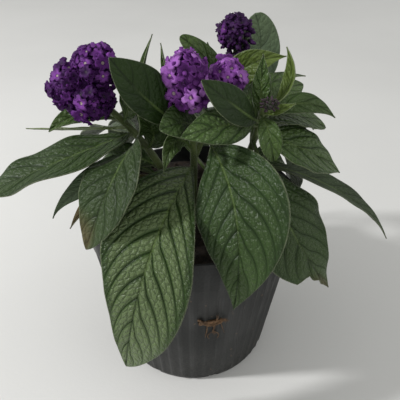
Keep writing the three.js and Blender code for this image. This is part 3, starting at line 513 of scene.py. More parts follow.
class Nodes:
    """Adds and joins the nodes of one tree"""

    def __init__(self, tree):
        self.tree = tree

    def add(self, kind, **settings):
        node = self.tree.nodes.new(kind)
        for name, value in settings.items():
            setattr(node, name, value)
        return node

    def put(self, socket, value):
        if isinstance(value, bpy.types.NodeSocket):
            self.tree.links.new(value, socket)
        else:
            socket.default_value = value

    def math(self, operation, first, second=0.0, third=0.0):
        node = self.add("ShaderNodeMath", operation=operation)
        for socket, value in zip(node.inputs, (first, second, third)):
            self.put(socket, value)
        return node.outputs[0]

    def rise(self, value, low, high, start=0.0, end=1.0):
        """A smooth step from start to end while the value goes from low to high"""
        node = self.add("ShaderNodeMapRange", interpolation_type="SMOOTHSTEP")
        names = ("Value", "From Min", "From Max", "To Min", "To Max")
        for name, setting in zip(names, (value, low, high, start, end)):
            self.put(node.inputs[name], setting)
        return node.outputs["Result"]

    def mix(self, share, first, second):
        node = self.add("ShaderNodeMix", data_type="RGBA", clamp_factor=True)
        self.put(node.inputs["Factor"], share)
        self.put(node.inputs["A"], first)
        self.put(node.inputs["B"], second)
        return node.outputs["Result"]

    def tint(self, colour, mask, share, other):
        """A colour with another mixed in by a share of a mask"""
        return self.mix(self.math("MULTIPLY", mask, share), colour, other)

    def value_of(self, name):
        return self.add("ShaderNodeAttribute", attribute_name=name).outputs["Fac"]

    def cells(self, feature, vector, scale, dimensions="2D", randomness=1.0):
        """Distance in a pattern of cells, from their middles or their edges"""
        node = self.add("ShaderNodeTexVoronoi", feature=feature, voronoi_dimensions=dimensions)
        self.put(node.inputs["Vector"], vector)
        node.inputs["Scale"].default_value = scale
        node.inputs["Randomness"].default_value = randomness
        return node.outputs["Distance"]

    def place(self):
        return self.add("ShaderNodeTexCoord").outputs["Object"]

    def bump(self, height, strength, distance):
        node = self.add("ShaderNodeBump")
        node.inputs["Strength"].default_value = strength
        node.inputs["Distance"].default_value = distance
        self.put(node.inputs["Height"], height)
        return node.outputs["Normal"]


def group_with(name, inputs, outputs):
    """An empty shader node group with named number sockets, and its input and output nodes"""
    tree = bpy.data.node_groups.new(name, "ShaderNodeTree")
    for way, labels in (("INPUT", inputs), ("OUTPUT", outputs)):
        for label in labels:
            tree.interface.new_socket(label, in_out=way, socket_type="NodeSocketFloat")
    nodes = Nodes(tree)
    return tree, nodes, nodes.add("NodeGroupInput"), nodes.add("NodeGroupOutput")


def vein_group():
    """Masks that follow a blade's own veins: midrib, side veins, small net, blisters, painted
    sheen, crumples and margin
    """
    name = "Leaf veins"
    if name in bpy.data.node_groups:
        return bpy.data.node_groups[name]
    tree, nodes, _, end = group_with(name, (), VEIN_MASKS)
    side = nodes.math("ABSOLUTE", nodes.value_of("side"))
    along = nodes.value_of("along")
    near_vein = nodes.math("PINGPONG", nodes.value_of("rib"), 0.5)
    width = nodes.rise(side, 0.0, 1.0, 0.06, 0.04)
    vein = nodes.math("SUBTRACT", 1.0, nodes.rise(near_vein, 0.0, width))
    vein = nodes.math("MULTIPLY", vein, nodes.rise(side, 0.65, 1.0, 1.0, 0.15))
    blade_map = nodes.add("ShaderNodeUVMap", uv_map="Blade").outputs["UV"]
    parts = nodes.add("ShaderNodeSeparateXYZ")
    nodes.put(parts.inputs["Vector"], blade_map)
    across = nodes.math("ABSOLUTE", parts.outputs["X"])
    midrib_width = nodes.rise(along, 0.0, 1.0, 0.011, 0.005)
    midrib = nodes.math("SUBTRACT", 1.0, nodes.rise(across, 0.003, midrib_width))
    scaled = nodes.add("ShaderNodeMapping", vector_type="POINT")
    nodes.put(scaled.inputs["Vector"], blade_map)
    scaled.inputs["Scale"].default_value = NET_SCALE
    spot = scaled.outputs["Vector"]
    edge = nodes.cells("DISTANCE_TO_EDGE", spot, 1.0, randomness=0.75)
    crinkle = nodes.cells("F1", spot, CRUMPLE_SCALE)
    net = nodes.math("SUBTRACT", 1.0, nodes.rise(edge, 0.0, 0.1))
    pillow = nodes.rise(near_vein, 0.03, 0.22)
    blister = nodes.math("MULTIPLY", nodes.rise(edge, 0.0, 0.35), pillow)
    # Where the sheen is painted: the cells away from the veins, fainter on the net lines
    painted_sheen = nodes.math("MULTIPLY", nodes.rise(edge, 0.0, 0.1, 0.45, 1.0), pillow)
    crumple = nodes.math("MULTIPLY", nodes.rise(crinkle, 0.55, 0.0), pillow)
    margin = nodes.rise(side, 0.965, 0.995)
    for label, value in zip(VEIN_MASKS, (vein, midrib, net, blister, painted_sheen, crumple, margin)):
        nodes.put(end.inputs[label], value)
    return tree


def mottle_group():
    """Patches and fine grain at given scales, on the piece's own coordinates"""
    name = "Mottling"
    if name in bpy.data.node_groups:
        return bpy.data.node_groups[name]
    tree, nodes, start, end = group_with(name, ("Patch Scale", "Grain Scale"), ("Patch", "Grain"))
    for label, detail in (("Patch", 4.0), ("Grain", 2.0)):
        texture = nodes.add("ShaderNodeTexNoise")
        nodes.put(texture.inputs["Vector"], nodes.place())
        nodes.put(texture.inputs["Scale"], start.outputs[f"{label} Scale"])
        texture.inputs["Detail"].default_value = detail
        nodes.put(end.inputs[label], nodes.rise(texture.outputs["Fac"], 0.3, 0.7))
    return tree


def use_group(nodes, tree, **values):
    """Places a node group with its own values, and gives its outputs"""
    node = nodes.add("ShaderNodeGroup", node_tree=tree)
    for name, value in values.items():
        node.inputs[name.replace("_", " ")].default_value = value
    return node.outputs


def new_material(name, roughness, specular=0.5, sheen=0.0, sheen_tint=(1, 1, 1, 1)):
    """A material with its Principled shader, and the nodes to build on"""
    material = bpy.data.materials.new(name)
    material.use_nodes = True
    shader = material.node_tree.nodes["Principled BSDF"]
    shader.inputs["Roughness"].default_value = roughness
    shader.inputs["Specular IOR Level"].default_value = specular
    shader.inputs["Sheen Weight"].default_value = sheen
    shader.inputs["Sheen Roughness"].default_value = 0.4
    shader.inputs["Sheen Tint"].default_value = sheen_tint
    return material, Nodes(material.node_tree), shader


def cover(nodes, shader, colour, height, strength, depth):
    """Gives a shader its colour and its relief"""
    nodes.put(shader.inputs["Base Color"], colour)
    nodes.put(shader.inputs["Normal"], nodes.bump(height, strength, depth))


def with_alpha(colour, light=1.0):
    """A full colour, made lighter or darker"""
    return (colour[0] * light, colour[1] * light, colour[2] * light, 1)


def leaf_material(look, upper):
    """Green blade with sunk veins, puffed cells with painted sheen and painted glints, and a pale
    hairy margin, from above or below
    """
    name = f"Leaf {look} {'above' if upper else 'below'}"
    if name in bpy.data.materials:
        return bpy.data.materials[name]
    _, base, under, sheen_and_tip_green, show, roughness = LEAF_LOOKS[look]
    if upper:
        plain, sunk, rib_tip = base, with_alpha(base, 0.6), with_alpha(base, 0.6)
        sheen_share, glint_share, depth = show, 0.32 * show, 0.55 * MM
    else:
        plain, sunk, rib_tip = under, with_alpha(under, 1.5), with_alpha(under, 1.9)
        sheen_share, glint_share, depth = show * 0.3, 0.0, -0.4 * MM
        roughness = UNDERSIDE_ROUGHNESS
    material, nodes, shader = new_material(name, roughness, 0.23, 0.03, LEAF_SHEEN)
    veins = use_group(nodes, vein_group())
    mottle = use_group(nodes, mottle_group(), Patch_Scale=55, Grain_Scale=1500)
    side = nodes.math("ABSOLUTE", nodes.value_of("side"))
    along = nodes.value_of("along")
    colour = nodes.mix(mottle["Patch"], with_alpha(plain, 0.78), with_alpha(plain, 1.2))
    # Painted sheen: the puffed cells lightened to a silvery green, less near the margin
    inner = nodes.rise(side, 0.7, 0.97, sheen_share, 0.0)
    colour = nodes.tint(colour, veins["Painted Sheen"], inner, with_alpha(sheen_and_tip_green))
    colour = nodes.mix(nodes.rise(along, 0.55, 1.0, 0.0, 0.7), colour, with_alpha(sheen_and_tip_green, 1.15))
    colour = nodes.tint(colour, veins["Net"], 0.3 * show + 0.05, sunk)
    colour = nodes.tint(colour, veins["Vein"], 0.7, sunk)
    # Painted glints on the crests of the crumples, on the upper face only
    painted_glint = nodes.rise(veins["Crumple"], 0.7, 0.98)
    colour = nodes.tint(colour, painted_glint, glint_share, PAINTED_GLINT_COLOUR)
    rib = nodes.mix(nodes.rise(along, 0.4, 0.8), MIDRIB_COLOUR, rib_tip)
    colour = nodes.tint(colour, veins["Midrib"], 0.7, rib)
    dry = nodes.rise(mottle["Patch"], 0.0, 0.6, 0.55, 1.0)
    colour = nodes.tint(colour, nodes.value_of("brown"), dry, BROWN)
    colour = nodes.tint(colour, veins["Margin"], 0.45, RIM_COLOUR)
    relief = nodes.math("MULTIPLY_ADD", mottle["Grain"], 0.15, veins["Blister"])
    for mask, height in (("Crumple", 0.45), ("Vein", -0.9), ("Midrib", -0.6)):
        relief = nodes.math("MULTIPLY_ADD", veins[mask], height, relief)
    cover(nodes, shader, colour, relief, 0.35 + 0.6 * show, depth)
    return material


def petal_material(look):
    """Velvety petals, darker towards the throat, with a painted highlight along the petal edges and
    a pale eye on the lighter florets
    """
    name = f"Petals {look}"
    if name in bpy.data.materials:
        return bpy.data.materials[name]
    _, *tones, paling = PETAL_LOOKS[look]
    rim, middle, throat = (with_alpha(tone) for tone in tones)
    light = with_alpha(rim, 2.3)
    material, nodes, shader = new_material(name, 0.6, 0.18, 0.04, PETAL_SHEEN)
    reach = nodes.value_of("petal")
    shade = nodes.value_of("shade")
    mottle = use_group(nodes, mottle_group(), Patch_Scale=420, Grain_Scale=2200)
    colour = nodes.mix(nodes.rise(reach, 0.35, 0.95), middle, rim)
    colour = nodes.mix(nodes.rise(shade, 0.3, 1.0, 0.0, 0.85), colour, light)
    colour = nodes.tint(colour, mottle["Patch"], 0.5, middle)
    # Painted highlight: the outer edge of every petal is lightened
    colour = nodes.mix(nodes.rise(reach, 0.82, 1.05, 0.0, 0.4), colour, light)
    halo_share = nodes.rise(shade, 0.55, 0.9, 0.0, 0.6)
    colour = nodes.tint(colour, nodes.rise(reach, 0.75, 0.35), halo_share, with_alpha(light, 1.6))
    colour = nodes.mix(nodes.rise(shade, 0.6, 0.9, 0.0, paling), colour, BLUSH_COLOUR)
    colour = nodes.mix(nodes.rise(reach, 0.32, 0.2, 0.0, 0.7), colour, throat)
    eye_share = nodes.rise(shade, 0.35, 0.8, 0.05, 0.8)
    colour = nodes.tint(colour, nodes.rise(reach, 0.2, 0.15), eye_share, EYE_COLOUR)
    cover(nodes, shader, colour, mottle["Grain"], 0.3, 0.15 * MM)
    return material


def bud_material(name, colour, tip):
    """Hairy calyx or closed bud, its tip in another colour"""
    if name in bpy.data.materials:
        return bpy.data.materials[name]
    material, nodes, shader = new_material(name, 0.65, sheen=0.06)
    mottle = use_group(nodes, mottle_group(), Patch_Scale=350, Grain_Scale=2500)
    ground = nodes.mix(mottle["Patch"], with_alpha(colour, 0.7), with_alpha(colour, 1.25))
    ground = nodes.tint(ground, nodes.value_of("shade"), 0.5, with_alpha(colour, 1.8))
    ground = nodes.mix(nodes.rise(nodes.value_of("petal"), 0.45, 0.8), ground, with_alpha(tip))
    cover(nodes, shader, ground, mottle["Grain"], 0.4, 0.2 * MM)
    return material


def plain_material(name, dark, light, roughness, patch_scale, grain_scale, depth, sheen=0.0):
    """Natural surface of two tones with a fine grain"""
    if name in bpy.data.materials:
        return bpy.data.materials[name]
    material, nodes, shader = new_material(name, roughness, sheen=sheen)
    mottle = use_group(nodes, mottle_group(), Patch_Scale=patch_scale, Grain_Scale=grain_scale)
    colour = nodes.mix(mottle["Patch"], with_alpha(dark), with_alpha(light))
    colour = nodes.tint(colour, mottle["Grain"], 0.35, with_alpha(light, 1.4))
    relief = nodes.math("MULTIPLY_ADD", mottle["Grain"], 0.6, mottle["Patch"])
    cover(nodes, shader, colour, relief, 0.6, depth)
    return material


def compost_material():
    """Near-black peat with brown fibres"""
    return plain_material(
        "Compost", (0.006, 0.0045, 0.0035), (0.03, 0.019, 0.012), roughness=0.95,
        patch_scale=260, grain_scale=1400, depth=0.5 * MM)


def root_material():
    """Dry brown roots"""
    return plain_material(
        "Dry roots", (0.03, 0.016, 0.008), (0.21, 0.12, 0.06), roughness=0.8,
        patch_scale=260, grain_scale=1500, depth=0.15 * MM)


def shoot_material():
    """Green shoot, browner in patches"""
    return plain_material(
        "Green shoot", (0.035, 0.05, 0.015), (0.09, 0.125, 0.035), roughness=0.55,
        patch_scale=90, grain_scale=900, depth=0.12 * MM, sheen=0.2)


def hair_material():
    """Fine pale hair"""
    return plain_material(
        "Pale hair", (0.2, 0.23, 0.14), (0.36, 0.38, 0.28), roughness=0.5,
        patch_scale=300, grain_scale=2000, depth=0.02 * MM)


def pot_material():
    """Satin dark grey plastic with a film of dust, more near the foot, and fine brown specks"""
    material, nodes, shader = new_material("Pot plastic", 0.48, 0.3)
    mottle = use_group(nodes, mottle_group(), Patch_Scale=38, Grain_Scale=900)
    place = nodes.place()
    height = nodes.add("ShaderNodeSeparateXYZ")
    nodes.put(height.inputs["Vector"], place)
    colour = nodes.mix(mottle["Patch"], *POT_COLOURS)
    near_foot = nodes.rise(height.outputs["Z"], 0.045, 0.0, 0.0, 0.25)
    colour = nodes.tint(colour, nodes.math("ADD", near_foot, 0.12), mottle["Grain"], DUST_COLOUR)
    speck = nodes.rise(nodes.cells("F1", place, 130, "3D"), 0.11, 0.06)
    colour = nodes.tint(colour, speck, 0.5, SPECK_COLOUR)
    nodes.put(shader.inputs["Roughness"], nodes.rise(mottle["Patch"], 0.0, 1.0, 0.42, 0.6))
    cover(nodes, shader, colour, mottle["Grain"], 0.12, 0.1 * MM)
    return material


def floor_material(colour):
    """Pale matt floor with a faint grain"""
    material, nodes, shader = new_material("Pale floor", 0.85)
    mottle = use_group(nodes, mottle_group(), Patch_Scale=3, Grain_Scale=400)
    shade = nodes.mix(mottle["Patch"], with_alpha(colour, 0.97), with_alpha(colour, 1.03))
    cover(nodes, shader, shade, mottle["Grain"], 0.1, 0.2 * MM)
    return material


def random_for(group, number=0):
    """The random draws of a group, or of one of its pieces"""
    return np.random.default_rng(SEEDS[group] + number)


def deselect():
    bpy.ops.object.select_all(action="DESELECT")


def select_only(piece):
    deselect()
    piece.select_set(True)
    bpy.context.view_layer.objects.active = piece


def settle():
    """The piece that was just added, with its place and size taken into its mesh"""
    piece = bpy.context.active_object
    bpy.ops.object.transform_apply(location=True, rotation=True, scale=True)
    return piece


def edit_all(piece):
    """Opens a piece in edit mode with all of it selected"""
    select_only(piece)
    bpy.ops.object.mode_set(mode="EDIT")
    bpy.ops.mesh.select_all(action="SELECT")


def smooth(piece):
    select_only(piece)
    bpy.ops.object.shade_smooth()


def points_of(piece):
    """A mesh's points in millimetres"""
    values = np.empty(len(piece.data.vertices) * 3)
    piece.data.vertices.foreach_get("co", values)
    return values.reshape(-1, 3) / MM


def place_points(piece, points):
    """Moves a mesh's points, given in millimetres"""
    piece.data.vertices.foreach_set("co", (points * MM).ravel())
    piece.data.update()


def mark(piece, name, values):
    """Stores a number for every point of a mesh"""
    layer = piece.data.attributes.new(name, "FLOAT", "POINT")
    layer.data.foreach_set("value", np.asarray(values, dtype=np.float32))


def finish_piece(piece, name, materials, nodes=()):
    """Names a piece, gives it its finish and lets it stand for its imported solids"""
    piece.name = name
    piece.data.name = name
    piece.data.materials.clear()
    for material in materials:
        piece.data.materials.append(material)
    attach(piece, "root")
    if nodes:
        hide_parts(*nodes)


def apply_modifier(piece, kind, **settings):
    """Finishes a piece with one modifier"""
    select_only(piece)
    modifier = piece.modifiers.new(kind.title(), kind)
    for name, value in settings.items():
        setattr(modifier, name, value)
    bpy.ops.object.modifier_apply(modifier=modifier.name)


def face_outwards(piece):
    """Merges doubled points and turns every face outwards"""
    edit_all(piece)
    bpy.ops.mesh.remove_doubles(threshold=0.001 * MM)
    bpy.ops.mesh.normals_make_consistent(inside=False)
    bpy.ops.object.mode_set(mode="OBJECT")


def drop(piece):
    """Removes a piece that only served to make others"""
    mesh = piece.data
    bpy.data.objects.remove(piece)
    bpy.data.meshes.remove(mesh)


def lathe(profile, sides):
    """A closed turned body: a circle extruded ring by ring up a profile of radius and height"""
    deselect()
    radius, height = profile[0]
    bpy.ops.mesh.primitive_circle_add(vertices=sides, radius=radius, location=(0, 0, height))
    piece = settle()
    edit_all(piece)
    for (last_radius, last_height), (next_radius, next_height) in zip(profile, profile[1:]):
        rise = (0, 0, next_height - last_height)
        bpy.ops.mesh.extrude_edges_move(TRANSFORM_OT_translate={"value": rise})
        grow = next_radius / last_radius
        bpy.ops.transform.resize(value=(grow, grow, 1), center_override=(0, 0, next_height))
    bpy.ops.mesh.select_all(action="SELECT")
    bpy.ops.mesh.fill_holes(sides=0)
    bpy.ops.object.mode_set(mode="OBJECT")
    face_outwards(piece)
    return piece


def tube(name, points, radii, resolution=4):
    """A smooth round bar along points in millimetres"""
    curve = bpy.data.curves.new(name, "CURVE")
    curve.dimensions = "3D"
    curve.bevel_depth = 1.0
    curve.bevel_resolution = resolution
    curve.resolution_u = 6
    curve.use_fill_caps = True
    spline = curve.splines.new("BEZIER")
    spline.bezier_points.add(len(points) - 1)
    for knot, place, radius in zip(spline.bezier_points, points, radii):
        knot.co = Vector(place) * MM
        knot.radius = radius * MM
        knot.handle_left_type = "AUTO"
        knot.handle_right_type = "AUTO"
    piece = bpy.data.objects.new(name, curve)
    bpy.context.scene.collection.objects.link(piece)
    select_only(piece)
    bpy.ops.object.convert(target="MESH")
    return bpy.context.active_object


def join(pieces):
    """Joins meshes into one"""
    select_only(pieces[0])
    for piece in pieces:
        piece.select_set(True)
    bpy.ops.object.join()
    return bpy.context.active_object


def model_core(centre, radius):
    """The plain ball that florets or buds stand on"""
    deselect()
    bpy.ops.mesh.primitive_ico_sphere_add(
        subdivisions=3, radius=radius * MM, location=[value * MM for value in centre])
    core = settle()
    for name in ("shade", "petal"):
        mark(core, name, np.zeros(len(core.data.vertices)))
    return core


def unit(vectors):
    """The same ways with length 1"""
    return vectors / np.maximum(np.linalg.norm(vectors, axis=-1, keepdims=True), 1e-9)


def copy_sizes(width, length):
    """Width, width and length of each copy"""
    width, length = np.broadcast_arrays(width, length)
    return np.stack([width, width, length], axis=1)


def frames_towards(directions, turns, sizes):
    """The three axes that the mesh of each copy gets: its upright one goes along the direction"""
    directions = unit(np.asarray(directions, float))
    helper = np.where(np.abs(directions[:, 2:3]) > 0.9, (1.0, 0.0, 0.0), (0.0, 0.0, 1.0))
    first = unit(np.cross(helper, directions))
    second = np.cross(directions, first)
    cosine = np.cos(turns)[:, None]
    sine = np.sin(turns)[:, None]
    across = first * cosine + second * sine
    beside = second * cosine - first * sine
    axes = np.stack([across, beside, directions], axis=1)
    return axes * np.asarray(sizes, float)[:, :, None]


def stamp(name, template, origins, frames, shades):
    """One mesh of many copies of a template, whose points are in units of each copy's size"""
    shape = np.empty(len(template.data.vertices) * 3)
    template.data.vertices.foreach_get("co", shape)
    shape = shape.reshape(-1, 3)
    faces = sorted(tuple(face.vertices) for face in template.data.polygons)
    points = np.asarray(origins)[:, None, :] + np.einsum("pk,ckj->cpj", shape, frames)
    count = len(shape)
    all_faces = [
        tuple(corner + first for corner in face)
        for first in range(0, len(origins) * count, count)
        for face in faces
    ]
    mesh = bpy.data.meshes.new(name)
    mesh.from_pydata((points * MM).reshape(-1, 3).tolist(), [], all_faces)
    piece = bpy.data.objects.new(name, mesh)
    bpy.context.scene.collection.objects.link(piece)
    mark(piece, "shade", np.repeat(shades, count))
    if "petal" in template.data.attributes:
        petal = np.empty(count)
        template.data.attributes["petal"].data.foreach_get("value", petal)
        mark(piece, "petal", np.tile(petal, len(origins)))
    smooth(piece)
    return piece


def shoot_point(name, height):
    """The place on a shoot's centre line at a height, in millimetres"""
    line = SHOOTS[name][0]
    steps = [index for index, point in enumerate(line) if index > 0 and point[2] >= height]
    upper = steps[0] if steps else len(line) - 1
    low, high = np.array(line[upper - 1], float), np.array(line[upper], float)
    return low + (high - low) * (height - low[2]) / (high[2] - low[2])


def leaf_from(row):
    """A leaf's midrib as three curve points, with its form filled in"""
    name, look, shoot, height, middle, tip, width, face, form = row
    root = shoot_point(shoot, height)
    middle = np.array(middle, float)
    tip = np.array(tip, float)
    to_middle = np.linalg.norm(middle - root)
    share = to_middle / (to_middle + np.linalg.norm(tip - middle))
    pull = (middle - (1 - share) ** 2 * root - share ** 2 * tip) / (2 * share * (1 - share))
    leaf = {**LEAF_FORM, **form, "name": name, "look": look, "width": width}
    leaf["curve"] = (root, pull, tip)
    leaf["face"] = unit(np.array(face, float))
    steps = along_midrib(leaf, np.linspace(0, 1, MIDRIB_STEPS))
    leaf["length"] = np.linalg.norm(np.diff(steps, axis=0), axis=1).sum()
    return leaf


def along_midrib(leaf, along):
    """Places on the midrib, from 0 at its root to 1 at its tip"""
    root, pull, tip = leaf["curve"]
    along = np.asarray(along)[..., None]
    return (1 - along) ** 2 * root + 2 * along * (1 - along) * pull + along ** 2 * tip


def midrib_way(leaf, along):
    """The way that the midrib runs at these places"""
    root, pull, tip = leaf["curve"]
    along = np.asarray(along)[..., None]
    return unit((1 - along) * (pull - root) + along * (tip - pull))


def outline(leaf, part):
    """Half the width at a place along the blade, as a share of its greatest half width"""
    belly = leaf["belly"]
    before = np.sin(np.pi / 2 * np.clip(part / belly, 0, 1)) ** leaf["base"]
    after = np.cos(np.pi / 2 * np.clip((part - belly) / (1 - belly), 0, 1)) ** leaf["taper"]
    return np.where(part < belly, before, after)


def smooth_rise(low, high, value):
    """A smooth step from 0 to 1 while the value goes from low to high"""
    share = np.clip((value - low) / (high - low), 0, 1)
    return share * share * (3 - 2 * share)


def side_veins(leaf, along, across, half):
    """Running number of the side vein at a place: whole on a vein, and halfway between two veins"""
    side = np.abs(across)
    of_width, of_half = VEIN_REACH
    reach = of_width * leaf["width"] + of_half * half
    sweep = reach / leaf["length"] * (VEIN_SLOPE * side + VEIN_RISE * side ** VEIN_BEND)
    count = float(np.clip(round(leaf["length"] / VEIN_SPACING), *VEIN_COUNTS))
    left = LEFT_LOWER / count * smooth_rise(0, 0.2, -across)
    return count * (along - sweep - left) + FIRST_VEIN


def leaf_places(leaf, along, across):
    """Points of a blade, with the ways up and sideways, the part of the blade and its half width"""
    swept = along + VEIN_SWEEP * np.abs(across) * np.sin(np.pi * along)
    way = midrib_way(leaf, swept)
    face = leaf["face"]
    upper = unit(face - way * (way @ face)[..., None])
    beside = np.cross(way, upper)
    part = np.clip((swept - leaf["stalk"]) / (1 - leaf["stalk"]), 0, 1)
    fuller = (leaf["uneven"] + leaf["skew"] * (2 * part - 1)) * np.sign(across)
    full = leaf["width"] / 2 * outline(leaf, part) * (1 + fuller)
    full = full * (1 - leaf["ragged"] * torn_edge(along, across))
    least = (STALK_WIDTH + (TIP_WIDTH - STALK_WIDTH) * swept) / 2
    half = np.maximum(full, least)
    phase = leaf["phase"] + np.where(across < 0, SIDE_SHIFT, 0)
    edge_wave = np.sin(2 * np.pi * leaf["waves"] * swept + phase)
    fold = math.radians(leaf["fold"])
    lift = half * np.abs(across) * math.sin(fold)
    lift = lift + leaf["wave"] * edge_wave * across ** 2 * np.sin(np.pi * part)
    lift = lift + leaf["hook"] * np.clip((swept - HOOK_START) / (1 - HOOK_START), 0, 1) ** 2
    points = along_midrib(leaf, swept) + beside * (half * across * math.cos(fold))[..., None]
    return points + upper * lift[..., None], upper, beside, part, half


def torn_edge(along, across):
    """How much of the margin is missing on one side near the tip of a torn leaf, from 0 to 1"""
    jagged = 1 + 0.12 * np.sin(40 * along) + 0.09 * np.sin(71 * along)
    return np.where(across > 0, smooth_rise(TEAR_START, TEAR_FULL, along) * jagged, 0)


def leaf_relief(leaf, along, across, part, half, quilt):
    """Height of the puffed cells over the veins, in millimetres"""
    puff = np.abs(np.sin(np.pi * side_veins(leaf, along, across, half))) ** 0.4
    side = np.abs(across)
    fade = np.sin(np.pi * part)
    depth = quilt * leaf["width"] * (1 - PUFF_LOSS * side ** 3) * fade ** 0.5
    groove = np.exp(-(half * side / GROOVE_WIDTH) ** 2)
    wave = np.sin(RIPPLES * np.pi * along + RIPPLE_SHIFT * np.sign(across))
    ripple = MARGIN_RIPPLE * wave * side ** 4 * fade
    return depth * (puff - 0.6) - GROOVE_DEPTH * depth * groove + ripple * leaf["width"] / 30


def model_leaf(leaf, sizes):
    """A grid bent to the leaf's form, thickened into a blade with a stout stalk and midrib"""
    deselect()
    step = sizes.leaf_step / MM * (SMALL_LEAF_STEP if leaf["width"] < SMALL_LEAF else 1.0)
    rows = max(14, round(leaf["length"] / step))
    columns = 2 * max(4, round(leaf["width"] / 2 / step))
    bpy.ops.mesh.primitive_grid_add(x_subdivisions=columns, y_subdivisions=rows, size=2)
    piece = bpy.context.active_object
    flat = points_of(piece) * MM
    across = np.clip(flat[:, 0], -1, 1)
    along = np.clip((flat[:, 1] + 1) / 2, 0, 1)
    points, upper, beside, part, half = leaf_places(leaf, along, across)
    relief = leaf_relief(leaf, along, across, part, half, sizes.quilt)
    place_points(piece, points + upper * relief[:, None])
    mark(piece, "rib", side_veins(leaf, along, across, half))
    mark(piece, "side", across)
    mark(piece, "along", along)
    mark(piece, "brown", leaf["brown"] * smooth_rise(DRY_FROM, 1, along + DRY_LEAN * across))
    blade_map = np.stack([half * across, along * leaf["length"]], axis=1) / BLADE_MAP_SIZE
    corners = np.empty(len(piece.data.loops), dtype=np.int32)
    piece.data.loops.foreach_get("vertex_index", corners)
    layer = piece.data.uv_layers[0]
    layer.name = "Blade"
    layer.data.foreach_set("uv", blade_map[corners].ravel())
    thicken(piece, leaf, along, across, half, sizes)
    return piece


def thicken(piece, leaf, along, across, half, sizes):
    """Gives the blade its thickness, most at the stalk and along the midrib"""
    stalk = 1 - smooth_rise(0.4 * leaf["stalk"], leaf["stalk"] + 0.1, along)
    rib = np.exp(-(half * across / RIB_WIDTH) ** 2) * (1 - along) * RIB_SWELL
    weights = np.clip(np.maximum(stalk, rib), 0, 1)
    group = piece.vertex_groups.new(name="Stout")
    for index in np.nonzero(weights > 0.02)[0]:
        group.add([int(index)], float(weights[index]), "REPLACE")
    apply_modifier(
        piece, "SOLIDIFY", thickness=sizes.stalk, offset=0, vertex_group="Stout",
        thickness_vertex_group=sizes.blade / sizes.stalk, material_offset=1, use_even_offset=False)
    bpy.ops.object.shade_smooth()


def spread_ways(count):
    """Directions spread evenly over a ball"""
    golden = math.pi * (3 - math.sqrt(5))
    items = np.arange(count)
    z = 1 - (2 * items + 1) / count
    flat = np.sqrt(1 - z * z)
    return np.stack([flat * np.cos(golden * items), flat * np.sin(golden * items), z], axis=1)


def is_buried(seat, own, lumps, depth):
    """Whether a seat of one lump lies inside another lump of the same head"""
    return any(
        other != own and np.linalg.norm(seat - np.array(lump[:3])) < (lump[3] - depth) * 0.97
        for other, lump in enumerate(lumps))


def head_places(head):
    """Seats of a head's florets, the ways they look, and their layers from the outermost in"""
    places = []
    for layer, (depth, crowding, turn) in enumerate(FLORET_LAYERS):
        ways = spread_ways(PLACES_TRIED) @ np.array(Matrix.Rotation(turn, 3, Vector(LEANING_AXIS)))
        for own, (x, y, z, radius) in enumerate(head["lumps"]):
            for way in ways:
                seat = np.array((x, y, z), float) + way * (radius - depth)
                least = head["floret"] * crowding
                crowded = any(np.linalg.norm(seat - place) < least for place, _, _ in places)
                buried = is_buried(seat, own, head["lumps"], depth)
                if way[2] > head["lowest"] and not buried and not crowded:
                    places.append((seat, way, layer))
    return [np.array(values) for values in zip(*places)]


def model_floret(rng):
    """One corolla of radius 1: a ruffled five-lobed wheel on a narrow tube"""
    piece = lathe(FLORET_RINGS, FLORET_SIDES)
    points = points_of(piece) * MM
    reach = np.hypot(points[:, 0], points[:, 1])
    turn = np.arctan2(points[:, 1], points[:, 0]) % (2 * np.pi)
    petal = np.floor(turn / (2 * np.pi / LOBES) + 0.001).astype(int) % LOBES
    middle = np.abs(np.sin(LOBES / 2 * turn))
    long = 0.88 + 0.24 * rng.random(LOBES)
    tilt = 0.4 * rng.random(LOBES) - 0.1
    twist = 0.3 * (rng.random(LOBES) - 0.5)
    lobe = (1 - 0.4 * (1 - middle) ** 2) * (1 + (long[petal] - 1) * middle)
    bend = 1 + (lobe - 1) * smooth_rise(0.3, 1, reach)
    lift = 0.16 * reach + tilt[petal] * middle * reach ** 2 - 0.26 * middle * reach ** 4
    lift += twist[petal] * np.sin(LOBES * turn) * reach ** 3
    ruffle = FLORET_RUFFLE * (rng.random(len(reach)) - 0.5) * reach ** 2
    lift += 0.1 * (1 - middle) * reach ** 2 + ruffle
    points[:, :2] *= bend[:, None]
    points[:, 2] += np.where(reach > 0.28, lift, 0)
    place_points(piece, points / MM)
    mark(piece, "petal", np.where(points[:, 2] < -0.15, 0.25, reach))
    return piece


def model_calyx():
    """One calyx of radius 1: a cup with five teeth"""
    deselect()
    bpy.ops.mesh.primitive_cone_add(
        vertices=2 * LOBES, radius1=0.5, radius2=1, depth=2, location=(0, 0, -1))
    piece = settle()
    points = points_of(piece) * MM
    turn = np.arctan2(points[:, 1], points[:, 0])
    points[:, 2] += np.where(points[:, 2] > -0.5, 0.7 * np.cos(LOBES * turn), 0)
    place_points(piece, points / MM)
    mark(piece, "petal", np.clip((points[:, 2] + 2) / 4, 0, 1))
    return piece


def model_bud():
    """One closed bud of length 1: a folded club, thickest near its end"""
    deselect()
    bpy.ops.mesh.primitive_uv_sphere_add(segments=9, ring_count=7, radius=0.5, location=(0, 0, 0.5))
    piece = settle()
    points = points_of(piece) * MM
    club = 0.55 + 0.6 * smooth_rise(0.1, 0.7, points[:, 2])
    folds = 1 + 0.12 * np.cos(LOBES * np.arctan2(points[:, 1], points[:, 0]))
    points[:, :2] *= (club * folds)[:, None]
    place_points(piece, points / MM)
    mark(piece, "petal", np.clip(points[:, 2], 0, 1))
    return piece


def model_hair():
    """One hair of length 1: a three-sided spike"""
    deselect()
    bpy.ops.mesh.primitive_cone_add(
        vertices=3, radius1=0.5, radius2=0, depth=1, location=(0, 0, 0.5))
    return settle()


